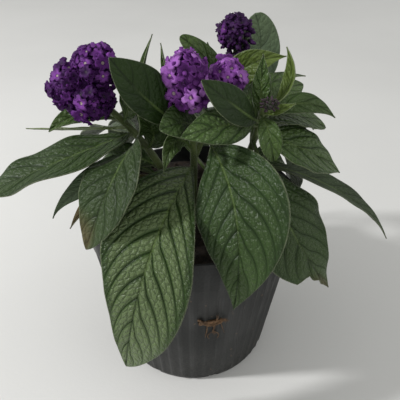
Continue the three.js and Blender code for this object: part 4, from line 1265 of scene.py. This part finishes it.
def head_ways(head, places, rng):
    """Each floret's uneven seat and tilted way, whether it is open, and its layer"""
    seats, ways, layers = places
    tilted = unit(ways + FLORET_TILT * (rng.random(ways.shape) - 0.5))
    seats = seats + ways * ((rng.random(len(ways)) - 0.5) * FLORET_UNEVEN)[:, None]
    open_side = unit(np.array(head["open_side"], float))
    is_open = ways @ open_side + 0.2 * rng.random(len(ways)) > head["open_from"]
    return seats, tilted, is_open, layers


def model_head(name, head, places, templates, rng):
    """Open florets of one head, and buds between them and where it hasn't opened"""
    seats, ways, is_open, layers = head_ways(head, places, rng)
    kinds = rng.integers(len(templates["florets"]), size=len(seats))
    parts = []
    for kind, template in enumerate(templates["florets"]):
        chosen = is_open & (kinds == kind)
        count = int(chosen.sum())
        if count:
            sizes = head["floret"] * (0.8 + 0.4 * rng.random(count))
            turns = rng.random(count) * 2 * np.pi
            frames = frames_towards(ways[chosen], turns, copy_sizes(sizes, sizes))
            # Florets of the deeper layer get a quarter of the tone, as painted shade between the
            # outer florets
            shades = rng.random(count) * np.where(layers[chosen] == 0, 1, 0.25)
            parts.append(stamp("wheels", template, seats[chosen], frames, shades))
    bud_seats, bud_ways = closed_places(seats, ways, is_open, rng)
    count = len(bud_seats)
    sizes = np.array(CLOSED_BUD) * (0.8 + 0.4 * rng.random((count, 1)))
    frames = frames_towards(bud_ways, rng.random(count) * 6, sizes)
    parts.append(stamp("closed", templates["bud"], bud_seats, frames, rng.random(count) * 0.4))
    look = head["look"]
    finish_piece(join(parts), f"heads_{name}", [petal_material(look)], [f"florets_{name}"])


def closed_places(seats, ways, is_open, rng):
    """Seats of the closed buds: two where nothing is open, and a few between the open florets"""
    between = is_open & (rng.random(len(seats)) < CLOSED_BETWEEN)
    shut = ~is_open
    base = np.concatenate([seats[shut], seats[shut], seats[between]])
    way = np.concatenate([ways[shut], ways[shut], ways[between]])
    way = unit(way + 0.7 * (rng.random(way.shape) - 0.5))
    return base - way * CLOSED_DEPTH + CLOSED_SCATTER * (rng.random(base.shape) - 0.5), way


def model_calyces(name, head, places, templates, rng):
    """Calyces under the florets of a head, with the green cores that they stand on"""
    seats, ways, _, layers = head_ways(head, places, rng)
    seats, ways = seats[layers == 0], ways[layers == 0]
    count = len(seats)
    sizes = copy_sizes(1.3 + 0.3 * rng.random(count), 2 + 0.5 * rng.random(count))
    frames = frames_towards(ways, rng.random(count) * 6, sizes)
    feet = seats - ways * CALYX_DEPTH
    parts = [stamp("cups", templates["calyx"], feet, frames, rng.random(count))]
    parts += [model_core((x, y, z), radius - CORE_DEPTH) for x, y, z, radius in head["lumps"]]
    material = bud_material("Calyx green", *CALYX_COLOURS)
    finish_piece(join(parts), f"calyces_{name}", [material])


def scatter_on(piece, count, rng):
    """Random places spread evenly over a mesh, with the way out, in millimetres"""
    piece.data.calc_loop_triangles()
    corners = np.empty(len(piece.data.loop_triangles) * 3, dtype=np.int32)
    piece.data.loop_triangles.foreach_get("vertices", corners)
    start, left, right = points_of(piece)[corners].reshape(-1, 3, 3).transpose(1, 0, 2)
    normals = np.cross(left - start, right - start)
    areas = np.linalg.norm(normals, axis=1)
    chosen = rng.choice(len(areas), size=count, p=areas / areas.sum())
    first, second = rng.random((2, count, 1))
    over = first + second > 1
    first = np.where(over, 1 - first, first)
    second = np.where(over, 1 - second, second)
    places = start[chosen] + first * (left - start)[chosen] + second * (right - start)[chosen]
    return places, unit(normals[chosen])


def wall_radius(pot, height):
    """Outer radius of the pot's wall at a height, in metres"""
    top = pot.rim - pot.band_taper - pot.step
    return pot.foot + (top - pot.foot) * height / (pot.height - pot.band)


def pot_profile(pot):
    """The cut through floor, wall and band, from under the middle round to the floor inside"""
    wall = pot.wall
    band_foot = pot.height - pot.band
    band_radius = pot.rim - pot.band_taper
    floor_top = pot.recess + wall
    return (
        (pot.pad, 0),
        (pot.pad + FOOT_EDGE, pot.recess),
        (pot.foot - pot.ring - FOOT_EDGE, pot.recess),
        (pot.foot - pot.ring, 0),
        (pot.foot - FOOT_EDGE, 0),
        (wall_radius(pot, wall), wall),
        (wall_radius(pot, RIB_FOOT), RIB_FOOT),
        (wall_radius(pot, band_foot - wall), band_foot - wall),
        (band_radius, band_foot),
        (pot.rim, pot.height),
        (pot.rim - wall, pot.height),
        (band_radius - wall, band_foot + wall),
        (wall_radius(pot, band_foot) - wall, band_foot - wall),
        (wall_radius(pot, floor_top) - wall, floor_top),
        (pot.pad - wall + FOOT_EDGE, floor_top),
        (pot.pad - wall, wall),
    )


def cut_away(piece, cutter):
    """Takes one solid out of another and removes it"""
    apply_modifier(piece, "BOOLEAN", operation="DIFFERENCE", solver="EXACT", object=cutter)
    drop(cutter)


def box_at(location, turn, size):
    """A plain box to cut with, turned about the upright"""
    deselect()
    bpy.ops.mesh.primitive_cube_add(size=1, location=location, rotation=(0, 0, turn), scale=size)
    return bpy.context.active_object


def on_circle(radius, angle, height):
    """A place round the pot's middle"""
    return (radius * math.cos(angle), radius * math.sin(angle), height)


def model_ribs(piece, pot):
    """Pushes the wall out into upright ribs"""
    points = points_of(piece)
    reach = np.hypot(points[:, 0], points[:, 1])
    turn = np.arctan2(points[:, 1], points[:, 0])
    wall = wall_radius(pot, points[:, 2] * MM) / MM
    on_wall = (np.abs(reach - wall) < 0.05) & (points[:, 2] > RIB_FOOT / MM - 0.5)
    rib = (0.5 + 0.5 * np.cos(pot.ribs * turn)) ** 4 * pot.rib_depth / MM
    points[:, :2] *= (1 + np.where(on_wall, rib / reach, 0))[:, None]
    place_points(piece, points)


def model_pot(pot):
    """The nursery pot, turned from its profile, ribbed, and cut by its holes, notches and slot"""
    piece = lathe(pot_profile(pot), pot.ribs * POINTS_A_RIB)
    model_ribs(piece, pot)
    for hole in range(DRAIN_HOLES):
        place = on_circle(DRAIN_CIRCLE, 2 * math.pi * hole / DRAIN_HOLES, pot.recess)
        deselect()
        bpy.ops.mesh.primitive_cylinder_add(
            vertices=DRAIN_SIDES, radius=DRAIN_RADIUS, depth=DRAIN_CUT, location=place)
        cut_away(piece, bpy.context.active_object)
    for notch in range(FOOT_NOTCHES):
        angle = 2 * math.pi * (notch + NOTCH_TURN) / FOOT_NOTCHES
        size = (pot.ring * 1.2, NOTCH_WIDTH, NOTCH_HEIGHT * 2)
        cut_away(piece, box_at(on_circle(pot.foot, angle, 0), angle, size))
    cut_away(piece, slot_box(pot, SLOT_WIDTH, SLOT_TALL, -SLOT_CUT, SLOT_CUT))
    apply_modifier(
        piece, "BEVEL", width=POT_BEVEL, segments=2, limit_method="ANGLE",
        angle_limit=math.radians(50))
    bpy.ops.object.shade_smooth_by_angle(angle=math.radians(32))
    return piece


def slot_box(pot, width, tall, inner, outer):
    """A box through the wall at the slot, from inner to outer past the wall, in millimetres"""
    angle = math.radians(SLOT_ANGLE)
    middle = wall_radius(pot, SLOT_HEIGHT * MM) + (inner + outer) / 2 * MM
    place = (middle * math.sin(angle), -middle * math.cos(angle), SLOT_HEIGHT * MM)
    return box_at(place, angle, (width * MM, (outer - inner) * MM, tall * MM))


def wall_point(pot, sideways, up, outwards):
    """A place on the pot's front wall, counted from the middle of the slot, in millimetres"""
    height = SLOT_HEIGHT + up
    radius = wall_radius(pot, height * MM) / MM
    turn = math.radians(SLOT_ANGLE) + sideways / radius
    return ((radius + outwards) * math.sin(turn), -(radius + outwards) * math.cos(turn), height)


def root_strand(pot, path, radius, rng):
    """One strand near the path of its wad, thinner towards its end"""
    shift = (rng.random((len(path), 3)) - 0.5) * (np.array(ROOT_SCATTER) * radius)
    shift[-1] *= 1.5
    places = np.array(path) + shift
    points = [wall_point(pot, x, up, max(0.3, outwards)) for x, up, outwards in places]
    thick = radius * (0.12 + 0.2 * rng.random())
    thinning = 0.75 / (len(path) - 1)
    radii = [max(THINNEST_ROOT, thick * (1 - thinning * step)) for step in range(len(path))]
    return tube("strand", points, radii, 1)


def model_roots(pot, rng):
    """Wads of thin dry roots that come out of the slot and lie against the wall"""
    plug = slot_box(pot, SLOT_WIDTH - 0.6, SLOT_TALL - 0.6, *PLUG_REACH)
    apply_modifier(plug, "SUBSURF", levels=3, render_levels=3, subdivision_type="SIMPLE")
    points = points_of(plug)
    noise.seed_set(SEEDS["roots"])
    lumps = np.array([noise.noise_vector(Vector(point) * 0.9) for point in points])
    place_points(plug, points + lumps * 0.5)
    parts = [plug]
    for path, radius in ROOTS:
        parts += [root_strand(pot, path, radius, rng) for _ in range(4 + round(radius * 12))]
    piece = join(parts)
    smooth(piece)
    return piece


def model_crumbs(count, reach, height, rng):
    """Loose crumbs strewn over a round top, in millimetres"""
    deselect()
    bpy.ops.mesh.primitive_ico_sphere_add(subdivisions=1, radius=1)
    crumb = bpy.context.active_object
    reach = np.sqrt(rng.random(count)) * reach
    turn = rng.random(count) * 2 * np.pi
    origins = np.stack([reach * np.cos(turn), reach * np.sin(turn), np.full(count, height)], axis=1)
    spans = (0.35 + 1.2 * rng.random(count) ** 3)[:, None] * (0.7 + 0.6 * rng.random((count, 3)))
    frames = frames_towards(rng.random((count, 3)) - 0.5, rng.random(count) * 6, spans)
    crumbs = stamp("crumbs", crumb, origins, frames, rng.random(count))
    drop(crumb)
    return crumbs


def model_compost(pot, sizes, rng):
    """Compost that fills the pot, its top uneven and strewn with crumbs"""
    low = SOIL_LOW.z
    band_foot = pot.height - pot.band
    under_band = band_foot - 2 * pot.wall
    top = band_foot + SOIL_OVER_BAND
    edge = pot.rim - pot.band_taper - pot.wall - SOIL_GAP
    profile = [
        (wall_radius(pot, low) - pot.wall - SOIL_GAP, low),
        (wall_radius(pot, under_band) - pot.wall - SOIL_GAP, under_band),
        (edge, band_foot + 2 * pot.wall),
        (edge, top),
    ]
    profile += [(edge * (1 - ring / SOIL_RINGS), top) for ring in range(1, SOIL_RINGS)]
    piece = lathe(profile, SOIL_SIDES)
    points = points_of(piece)
    for point in points:
        if point[2] > top / MM - 0.1:
            spot = Vector((point[0], point[1], 0))
            point[2] += sum(height * noise.noise(spot / span) for height, span in SOIL_SWELLS)
    place_points(piece, points)
    mark(piece, "shade", np.full(len(piece.data.vertices), 0.2))
    smooth(piece)
    return join([piece, model_crumbs(sizes.crumbs, edge / MM - 2.5, top / MM + 0.5, rng)])


def model_shoots():
    """The shoots and the short branches that carry the flower heads, as one grown body"""
    parts = []
    for line, foot, top in SHOOTS.values():
        parts.append(tube("shoot", line, np.linspace(foot, top, len(line))))
    for head in HEADS.values():
        line, _, top = SHOOTS[head["shoot"]]
        start = np.array(line[-1]) * (1 - BRANCH_START) + np.array(line[-2]) * BRANCH_START
        for lump in head["lumps"]:
            end = start + (np.array(lump[:3]) - start) * BRANCH_REACH
            parts.append(tube("branch", (start, end), (top * 0.9, BRANCH_RADIUS)))
    piece = join(parts)
    smooth(piece)
    return piece


def model_bud_group(group, template, rng):
    """Unopened buds in a tight group on a small core"""
    centre = np.array(group["centre"], float)
    ways = spread_ways(group["buds"] * 2)
    ways = ways[ways[:, 2] > group["lowest"]]
    ways = unit(ways + 0.25 * (rng.random(ways.shape) - 0.5))
    count = len(ways)
    length = group["length"] * (0.75 + 0.5 * rng.random(count))
    sizes = copy_sizes(group["width"], length) * (0.85 + 0.3 * rng.random((count, 1)))
    seats = centre + ways * (group["radius"] * 0.8)
    frames = frames_towards(ways, ways[:, 0] * 9, sizes)
    buds = stamp("group", template, seats, frames, rng.random(count))
    return join([buds, model_core(centre, group["radius"])])


def margin_hairs(leaf, sizes, rng):
    """Places and ways of the hairs along both margins of a leaf"""
    count = int(leaf["length"] / (sizes.hair_gap / MM))
    along = np.tile(rng.random(count), 2)
    across = np.repeat((-1.0, 1.0), count)
    points, upper, beside, _, _ = leaf_places(leaf, along, across)
    lean = upper * (rng.random((2 * count, 1)) - 0.5)
    return points, unit(beside * across[:, None] + midrib_way(leaf, along) * 0.5 + lean)


def hairs_from(name, places, ways, length, width, rng):
    """A coat of hairs of about one length, rooted at the places"""
    count = len(places)
    hair = model_hair()
    sizes = copy_sizes(width, length * (0.5 + 0.7 * rng.random(count)))
    bent = unit(ways + 0.5 * (rng.random((count, 3)) - 0.5))
    frames = frames_towards(bent, rng.random(count) * 6, sizes)
    piece = stamp(name, hair, places, frames, rng.random(count))
    drop(hair)
    return piece


def area_light(name, energy, size, place):
    """A round lamp that faces the plant"""
    data = bpy.data.lights.new(name, "AREA")
    data.energy = energy
    data.shape = "DISK"
    data.size = size
    light = bpy.data.objects.new(name, data)
    bpy.context.scene.collection.objects.link(light)
    light.location = place
    way = Vector(LIGHT_TARGET) - Vector(place)
    light.rotation_euler = way.to_track_quat("-Z", "Y").to_euler()


def add_camera(scene):
    """The camera at the photograph's viewing angle"""
    data = bpy.data.cameras.new("camera")
    data.sensor_width = CAMERA_SENSOR
    data.lens = CAMERA_LENS
    camera = bpy.data.objects.new("camera", data)
    scene.collection.objects.link(camera)
    camera.location = CAMERA_PLACE
    camera.rotation_euler = CAMERA_TURN
    scene.camera = camera


def add_sky(scene, strength):
    """Even pale light from all round"""
    world = bpy.data.worlds.new("Pale room")
    world.use_nodes = True
    background = world.node_tree.nodes["Background"]
    background.inputs["Color"].default_value = SKY_COLOUR
    background.inputs["Strength"].default_value = strength
    scene.world = world


class HELIOTROPE_OT_pot(bpy.types.Operator):
    """Model the nursery pot"""

    bl_idname = "object.heliotrope_pot"
    bl_label = "Nursery pot"

    def execute(self, context):
        piece = model_pot(context.scene.heliotrope_pot)
        finish_piece(piece, "nursery_pot", [pot_material()], ["pot"])
        return {"FINISHED"}


class HELIOTROPE_OT_compost(bpy.types.Operator):
    """Model the compost and its crumbs"""

    bl_idname = "object.heliotrope_compost"
    bl_label = "Compost"

    def execute(self, context):
        scene = context.scene
        piece = model_compost(scene.heliotrope_pot, scene.heliotrope_plant, random_for("compost"))
        finish_piece(piece, "compost", [compost_material()], ["soil"])
        return {"FINISHED"}


class HELIOTROPE_OT_roots(bpy.types.Operator):
    """Model the dry roots in the slot"""

    bl_idname = "object.heliotrope_roots"
    bl_label = "Roots in the slot"

    def execute(self, context):
        piece = model_roots(context.scene.heliotrope_pot, random_for("roots"))
        finish_piece(piece, "dry_roots", [root_material()], ["root_tuft"])
        return {"FINISHED"}


class HELIOTROPE_OT_shoots(bpy.types.Operator):
    """Model the shoots, branches and their hairs"""

    bl_idname = "object.heliotrope_shoots"
    bl_label = "Shoots"

    def execute(self, context):
        sizes = context.scene.heliotrope_plant
        rng = random_for("shoots")
        piece = model_shoots()
        finish_piece(piece, "shoots", [shoot_material()], ["stems"])
        places, ways = scatter_on(piece, sizes.shoot_hairs, rng)
        above = places[:, 2] > SOIL_HIGH.z / MM
        length, width = sizes.hair_length / MM, sizes.hair_width / MM
        hairs = hairs_from("shoot_hairs", places[above], ways[above], length, width, rng)
        finish_piece(hairs, "shoot_hairs", [hair_material()])
        return {"FINISHED"}


class HELIOTROPE_OT_leaves(bpy.types.Operator):
    """Model every leaf, with hairs along the margins"""

    bl_idname = "object.heliotrope_leaves"
    bl_label = "Leaves"

    def execute(self, context):
        sizes = context.scene.heliotrope_plant
        rng = random_for("leaves")
        hairs = []
        for row in LEAVES:
            leaf = leaf_from(row)
            name, look = leaf["name"], leaf["look"]
            materials = [leaf_material(look, True), leaf_material(look, False)]
            piece = model_leaf(leaf, sizes)
            finish_piece(piece, f"blade_{name}", materials, [f"leaf_{name}"])
            hairs.append(margin_hairs(leaf, sizes, rng))
        places, ways = (np.concatenate(values) for values in zip(*hairs))
        length, width = sizes.margin_hair / MM, sizes.hair_width / MM
        piece = hairs_from("margin_hairs", places, ways, length, width, rng)
        finish_piece(piece, "margin_hairs", [hair_material()])
        return {"FINISHED"}


class HELIOTROPE_OT_flowers(bpy.types.Operator):
    """Model the flower heads, floret by floret"""

    bl_idname = "object.heliotrope_flowers"
    bl_label = "Flower heads"

    def execute(self, context):
        rng = random_for("florets")
        templates = {
            "florets": [model_floret(rng) for _ in range(FLORET_KINDS)],
            "calyx": model_calyx(),
            "bud": model_bud(),
        }
        for number, (name, entry) in enumerate(HEADS.items()):
            head = {**HEAD_FORM, **entry}
            places = head_places(head)
            model_head(name, head, places, templates, random_for("heads", number))
            model_calyces(name, head, places, templates, random_for("heads", number))
        for template in (*templates["florets"], templates["calyx"], templates["bud"]):
            drop(template)
        return {"FINISHED"}


class HELIOTROPE_OT_buds(bpy.types.Operator):
    """Model the groups of unopened buds"""

    bl_idname = "object.heliotrope_buds"
    bl_label = "Bud groups"

    def execute(self, context):
        sizes = context.scene.heliotrope_plant
        template = model_bud()
        for number, (name, group) in enumerate(BUD_GROUPS.items()):
            rng = random_for("buds", number)
            look = group["look"]
            piece = model_bud_group(group, template, rng)
            material = bud_material(f"Buds {name}", *BUD_LOOKS[look])
            finish_piece(piece, f"{name}_fine", [material], [name])
            places, ways = scatter_on(piece, group["buds"] * HAIRS_A_BUD, rng)
            width = sizes.hair_width / MM * 0.8
            hairs = hairs_from(f"{name}_hairs", places, ways, BUD_HAIR, width, rng)
            finish_piece(hairs, f"{name}_hairs", [hair_material()])
        drop(template)
        return {"FINISHED"}


class HELIOTROPE_OT_stage(bpy.types.Operator):
    """Set up the floor, the lights and the camera"""

    bl_idname = "object.heliotrope_stage"
    bl_label = "Floor, light and camera"

    def execute(self, context):
        stage = context.scene.heliotrope_stage
        deselect()
        bpy.ops.mesh.primitive_plane_add(size=FLOOR_SIZE, location=(0, 0, 0))
        floor = bpy.context.active_object
        floor.name = "floor"
        floor.data.materials.append(floor_material(stage.floor_colour))
        area_light("key_light", stage.key_power, KEY_SIZE, KEY_PLACE)
        area_light("fill_light", stage.fill_power, FILL_SIZE, FILL_PLACE)
        add_sky(context.scene, stage.sky)
        add_camera(context.scene)
        context.scene.view_settings.view_transform = "Standard"
        return {"FINISHED"}


class HELIOTROPE_PT_panel(bpy.types.Panel):
    """Pieces of the potted heliotrope"""

    bl_label = "Heliotrope"
    bl_idname = "HELIOTROPE_PT_panel"
    bl_space_type = "VIEW_3D"
    bl_region_type = "UI"
    bl_category = "Heliotrope"

    def draw(self, context):
        for operator in OPERATORS:
            self.layout.operator(operator.bl_idname)
        scene = context.scene
        for group in (scene.heliotrope_plant, scene.heliotrope_pot, scene.heliotrope_stage):
            box = self.layout.box()
            for name in group.bl_rna.properties.keys():
                if name not in ("rna_type", "name"):
                    box.prop(group, name)


OPERATORS = (
    HELIOTROPE_OT_pot,
    HELIOTROPE_OT_compost,
    HELIOTROPE_OT_roots,
    HELIOTROPE_OT_shoots,
    HELIOTROPE_OT_leaves,
    HELIOTROPE_OT_flowers,
    HELIOTROPE_OT_buds,
    HELIOTROPE_OT_stage,
)
CLASSES = (PlantSizes, PotSizes, StageSettings, *OPERATORS, HELIOTROPE_PT_panel)


def register():
    for item in CLASSES:
        bpy.utils.register_class(item)
    bpy.types.Scene.heliotrope_plant = PointerProperty(type=PlantSizes)
    bpy.types.Scene.heliotrope_pot = PointerProperty(type=PotSizes)
    bpy.types.Scene.heliotrope_stage = PointerProperty(type=StageSettings)


def unregister():
    del bpy.types.Scene.heliotrope_stage
    del bpy.types.Scene.heliotrope_pot
    del bpy.types.Scene.heliotrope_plant
    for item in reversed(CLASSES):
        bpy.utils.unregister_class(item)


def main():
    register()
    bpy.ops.object.heliotrope_pot()
    bpy.ops.object.heliotrope_compost()
    bpy.ops.object.heliotrope_roots()
    bpy.ops.object.heliotrope_shoots()
    bpy.ops.object.heliotrope_leaves()
    bpy.ops.object.heliotrope_flowers()
    bpy.ops.object.heliotrope_buds()
    bpy.ops.object.heliotrope_stage()


if __name__ == "__main__":
    main()
